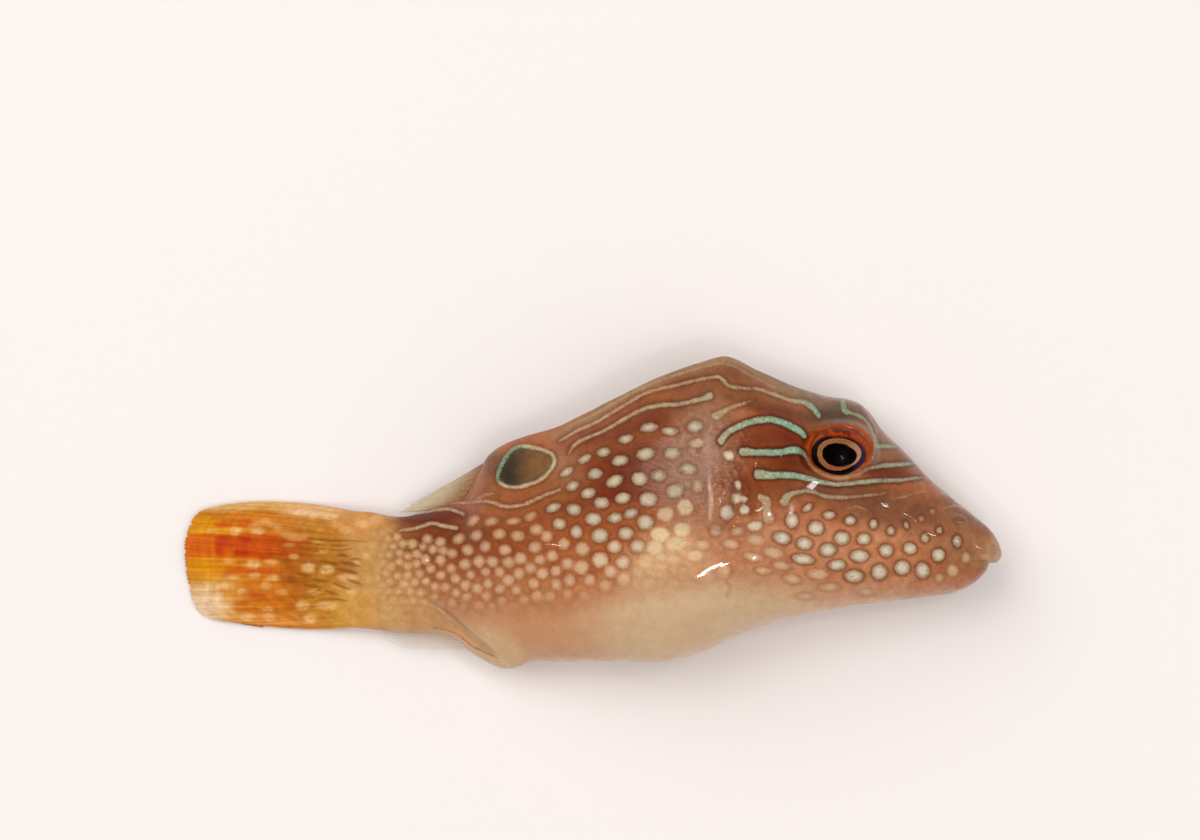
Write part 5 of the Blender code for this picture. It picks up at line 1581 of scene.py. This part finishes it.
# %% Where each fin lies
TAIL_RAYS, BACK_RAYS, ANAL_RAYS, SIDE_RAYS = 11, 9, 9, 14
TAIL_ROOT = [(40.1, 3.1), (40.1, 1.3), (40.1, -0.5), (40.1, -2.2), (40.1, -3.95)]
TAIL_EDGE = [
    (47.9, 4.0), (50.0, 3.77), (51.3, 3.42), (51.8, 3.02), (52.1, 2.45), (52.3, 1.85), (52.42, 1.1),
    (52.38, 0.2), (52.3, -0.6), (52.1, -1.6), (51.82, -2.6), (51.4, -3.18), (50.5, -3.6), (49.0, -3.84),
    (47.9, -3.96),
]
BACK_FIN_ROOT = [(33.0, 6.5), (33.6, 5.4), (34.4, 4.2), (36.0, 3.5)]
BACK_FIN_EDGE = [(36.1, 4.65), (36.9, 4.3), (37.7, 3.85), (38.5, 3.3)]
ANAL_FIN_ROOT = [(33.6, -5.5), (34.2, -5.0), (34.8, -4.6), (35.6, -4.3)]
ANAL_FIN_EDGE = [(38.2, -5.4), (38.9, -5.1), (39.4, -4.7), (39.7, -4.1)]
SIDE_FIN_ROOT = [(18.3, 6.05), (18.25, 5.0), (18.25, 3.9), (18.35, 2.9)]
SIDE_FIN_EDGE = [
    (20.3, 7.6), (21.4, 8.25), (22.4, 7.7), (23.0, 6.4), (22.9, 4.9), (22.2, 3.5), (21.1, 2.6), (20.1, 2.3),
]
SIDE_FIN_OFF, FOLDED_LEVEL, TAIL_WAVE, TAIL_BOW = 0.56, 0.3, 0.05, 0.27


def tail_surface(station, height, far):
    """The tail fin lies in the middle plane, with a slight wave."""
    wave = TAIL_WAVE * np.sin(height * 1.7 + station * 0.5) * ease(far * 2)
    return lay_down(station, height, wave)


def upright_surface(station, height, far):
    """The back and belly fins grow from the middle plane and sink a little towards the table."""
    points = lay_down(station, height, 0.0)
    points[..., 2] = np.maximum(points[..., 2] * (1 - 0.25 * far), 0.3) + 0.05 * np.sin(height * 6) * far
    return points


def right_surface(station, height, far):
    """The right side fin lies back along the flank, just clear of it."""
    wave = 0.1 * np.sin(height * 2.2 + station) * far
    return lay_down(station, height, reach(station, height) + SIDE_FIN_OFF * (1 - 0.1 * far) + wave)


def left_surface(station, height, far):
    """The left side fin is folded flat between the flank and the table."""
    points = lay_down(station, height, 0.0)
    points[..., 2] = FOLDED_LEVEL + 0.04 * np.sin(height * 2.2) * far
    return points


FINS = [
    # name, root, edge, rays, surface, columns and rows of the grid, thickness of web and ray, splits of a ray
    ("tail_fin_web", TAIL_ROOT, TAIL_EDGE, TAIL_RAYS, tail_surface, 176, 150, 0.13, 0.34, 2, TAIL_BOW),
    ("dorsal_fin_web", BACK_FIN_ROOT, BACK_FIN_EDGE, BACK_RAYS, upright_surface, 90, 50, 0.09, 0.15, 1),
    ("anal_fin_web", ANAL_FIN_ROOT, ANAL_FIN_EDGE, ANAL_RAYS, upright_surface, 90, 50, 0.08, 0.14, 1),
    ("pectoral_fin_right_web", SIDE_FIN_ROOT, SIDE_FIN_EDGE, SIDE_RAYS,
     right_surface, 140, 60, 0.05, 0.15, 1),
    ("pectoral_fin_left_web", SIDE_FIN_ROOT, SIDE_FIN_EDGE, SIDE_RAYS,
     left_surface, 140, 60, 0.06, 0.2, 1),
]
tail, back, anal, right, left = fins = [make_fin(*row) for row in FINS]
tail_place = picture_place(points_of(tail) / MM)
print("fins laid out; the tail fin shows from", [round(float(v.min())) for v in tail_place])

# %% [markdown]
# ## Close the fins
# The tail fin takes the colours that its stalk has. The other fins are see-through, and each has a tint
# at its root that turns into another, or stays as it is, towards its edge.

# %% Colours on the fins, and their walls
CLEAR_CORNER, DASHED_PLACE = ((198, 606), (28, 22), 20), ((334, 568), (34, 32))
keep_colour(tail, "ground", tail_colours(*tail_place))
keep_number(tail, "clear", ease(1.5 - ellipse_share(*tail_place, *CLEAR_CORNER)))
keep_number(tail, "dashes", ease(1.7 - ellipse_share(*tail_place, *DASHED_PLACE)))
for fin, root_colour, colour in (
    (back, (158, 110, 64), (206, 186, 150)), (anal, (196, 156, 112), (214, 198, 176)),
    (right, (196, 160, 138), (196, 160, 138)), (left, (190, 152, 122), (190, 152, 122)),
):
    far = np.empty(len(fin.data.vertices), np.float32)
    fin.data.attributes["far"].data.foreach_get("value", far)
    keep_colour(fin, "ground", lay(np.tile(rgb(root_colour), (len(far), 1)), colour, ease(far / 0.7)))
for fin in fins:
    close_fin(fin)

# %% Fin materials: streaks along the rays, and a web that lets light through
# How often each pattern repeats across and along the fin
STREAKS, BLOCKS, DASHES = (60.0, 2.5, 1.0), (13.0, 24.0, 1.0), (38.0, 9.0, 1.0)
DASH_BROWN, DASH_COVER, CORNER_ALPHA, PALE_RAYS = (142, 74, 4), 0.7, 0.86, (246, 242, 236)


def fin_material(name, dark_rays, web_alpha, ray_alpha, edge_alpha, contrast, roughness):
    """Web and rays by the ridge layer, and streaks by the fin's own UV map."""
    material, tree, shader = new_material(name, roughness=roughness, coat=0.4, coat_roughness=0.08)
    ridge, far = read_layer(tree, "ridge"), read_layer(tree, "far")
    flat = add_node(tree, "ShaderNodeUVMap", uv_map="UVMap").outputs[0]

    def stretched_noise(scale, detail):
        """Noise drawn out along the fin, by the fin's own UV map."""
        stretched = add_node(tree, "ShaderNodeMapping", {"Vector": flat, "Scale": scale}).outputs[0]
        return noise(tree, stretched, 1.0, detail)

    gains = [
        remap(tree, stretched_noise(*pattern), 0.3, 0.7, *contrast, "LINEAR")
        for pattern in ((STREAKS, 2.0), (BLOCKS, 1.0))
    ]
    gain = calculate(tree, "MULTIPLY", *gains)
    ground = read_layer(tree, "ground", "Color")
    base = blend_colours(tree, 1.0, ground, brownish(tree, gain, 1.5, 1.8), "MULTIPLY")
    base = use_group(tree, mottling, {"Colour": base, "Size": 0.4, "Amount": 0.12}).outputs[0]
    base = tinted(tree, remap(tree, ridge, 0.35, 0.95, 0.0, 0.8), base, rgb(dark_rays))
    dash = remap(tree, stretched_noise(DASHES, 2.0), 0.56, 0.66)
    dash = calculate(tree, "MULTIPLY", dash, read_layer(tree, "dashes"))
    base = blend_colours(tree, calculate(tree, "MULTIPLY", dash, DASH_COVER), base, paint(DASH_BROWN))
    alpha = remap(tree, ridge, 0.2, 0.9, web_alpha, ray_alpha)
    edge = remap(tree, far, 0.82, 1.0, 1.0, edge_alpha)
    clear = remap(tree, read_layer(tree, "clear"), 0.0, 1.0, 1.0, CORNER_ALPHA, "LINEAR")
    alpha = calculate(tree, "MULTIPLY", calculate(tree, "MULTIPLY", alpha, edge), clear)
    tree.links.new(alpha, shader.inputs["Alpha"])
    height = calculate(tree, "ADD", gain, noise(tree, object_place(tree), 0.15, 2.0))
    finish_surface(tree, shader, base, height, 0.2)
    return material


for fin, finish in (
    # the tint of its rays, how solid its web, rays and edge are, the contrast of its streaks, its roughness
    (tail, ((244, 230, 214), 0.96, 1.0, 0.88, (0.9, 1.1), 0.38)),
    (back, ((232, 222, 206), 0.6, 0.78, 0.35, (0.97, 1.03), 0.38)),
    (anal, (PALE_RAYS, 0.16, 0.26, 0.6, (0.97, 1.03), 0.38)),
    (left, (PALE_RAYS, 0.16, 0.26, 0.6, (0.97, 1.03), 0.38)),
    (right, ((240, 232, 224), 0.05, 0.14, 0.7, (0.95, 1.04), 0.25)),
):
    fin.data.materials.append(fin_material("wet_" + fin.name.removesuffix("_web"), *finish))
print("fin materials:", [fin.data.materials[0].name for fin in fins])

# %% [markdown]
# ## Floor, light and camera
# The fish lies on a plain pale floor. Three big soft lights give the round body its form. A wet skin would
# mirror them as pale squares, so they only light it. What it does mirror are five small lights, which make
# the short sharp glints of a wet skin, and the room: a pale band low round the fish and darkness above,
# which keeps the wet colours deep. The camera stands where the picture was taken from, straight above.

# %% The floor
FLOOR_SIZE, FLOOR_DROP, FLOOR_COLOUR = 0.9, 0.00002, (240, 232, 228)
floor = start_piece("floor", bpy.ops.mesh.primitive_plane_add, size=FLOOR_SIZE)
for vertex in floor.data.vertices:
    vertex.co.z = -FLOOR_DROP
pale, tree, shader = new_material("pale_floor", roughness=0.7, coat=0.0)
shader.inputs["Base Color"].default_value = paint(FLOOR_COLOUR)
floor.data.materials.append(pale)
print("floor:", FLOOR_SIZE, "m wide")

# %% The lights
SOFT_LIGHTS = [
    # name, place, power in watts, width
    ("key_light", (-0.34, 0.3, 0.5), 2.8, 0.6),
    ("fill_light", (0.4, -0.3, 0.5), 1.5, 0.6),
    ("top_light", (0, 0, 0.75), 3.08, 0.9),
]
GLINT_LIGHTS = [
    # name, place, power in watts, length, width, turn in degrees
    ("glint_belly", (0.0665, -0.117, 0.388), 0.07, 0.026, 0.013, 42),
    ("glint_cheek", (0.125, 0.08, 0.386), 0.09, 0.032, 0.024, 0),
    ("glint_snout", (0.321, 0.083, 0.258), 0.01, 0.01, 0.005, 0),
    ("glint_shoulder", (-0.273, 0.087, 0.282), 0.016, 0.02, 0.006, 90),
    ("glint_lid", (0.087, 0.278, 0.291), 0.012, 0.01, 0.008, 0),
]


def add_light(name, spot, power, length, width, turn=0.0):
    """A flat light that shines at the middle of the frame."""
    light = bpy.data.objects.new(name, bpy.data.lights.new(name, "AREA"))
    bpy.context.scene.collection.objects.link(light)
    light.location = spot
    aim = (-Vector(spot)).to_track_quat("-Z", "Y") @ Quaternion((0, 0, 1), math.radians(turn))
    light.rotation_euler = aim.to_euler()
    light.data.shape, light.data.size, light.data.size_y = "RECTANGLE", length, width
    light.data.energy = power
    return light


for name, spot, power, width in SOFT_LIGHTS:
    add_light(name, spot, power, width, width).visible_glossy = False
for row in GLINT_LIGHTS:
    add_light(*row)

# %% The room
ROOM_STOPS = [
    (0.0, (0.5, 0.49, 0.48)), (0.25, (0.5, 0.49, 0.48)), (0.5, (0.1, 0.098, 0.096)),
    (0.75, (0.02, 0.02, 0.02)),
]
ROOM_STRENGTH = 1.0
world = bpy.data.worlds.new("studio")
world.use_nodes = True
tree = world.node_tree
direction = add_node(tree, "ShaderNodeTexCoord").outputs["Generated"]
height = add_node(tree, "ShaderNodeSeparateXYZ", {0: direction}).outputs["Z"]
room = add_node(tree, "ShaderNodeValToRGB", {0: height})
fill_ramp(room, ROOM_STOPS)
tree.links.new(room.outputs[0], tree.nodes["Background"].inputs[0])
tree.nodes["Background"].inputs[1].default_value = ROOM_STRENGTH
bpy.context.scene.world = world
bpy.context.scene.view_settings.view_transform = "Standard"
print("lights:", [row[0] for row in SOFT_LIGHTS + GLINT_LIGHTS], "and a room of", len(ROOM_STOPS), "greys")

# %% The camera
camera = bpy.data.objects.new("camera", bpy.data.cameras.new("camera"))
bpy.context.scene.collection.objects.link(camera)
camera.location = Vector((CAMERA_X, CAMERA_Y, CAMERA_Z)) * MM
camera.data.sensor_width = SENSOR_WIDTH
camera.data.lens = SENSOR_WIDTH * PIXELS_PER_MM * CAMERA_Z / PICTURE_WIDTH
camera.data.clip_start = 0.01
bpy.context.scene.camera = camera
print("lens:", round(camera.data.lens, 1), "mm")

# %% [markdown]
# ## Tie the pieces to the frame
# The fish is still, so every piece rides on the one body. Each piece names the solids that it stands for
# and a finish.

# %% Ride and replace
PIECES = [
    (skin, ("head", "trunk", "tail_stalk"), "skin"),
    (eyes[0], ("eye_right",), "eye"), (eyes[1], ("eye_left",), "eye"),
    (tail, ("tail_fin",), "tail_fin"), (back, ("dorsal_fin",), "fin_membrane"),
    (anal, ("anal_fin",), "fin_membrane"), (right, ("pectoral_fin_right",), "fin_membrane"),
    (left, ("pectoral_fin_left",), "fin_membrane"), (plates[0], (), "skin"), (plates[1], (), "skin"),
]
for piece, nodes, finish in PIECES:
    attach(piece, "root")
    if nodes:
        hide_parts(*nodes)
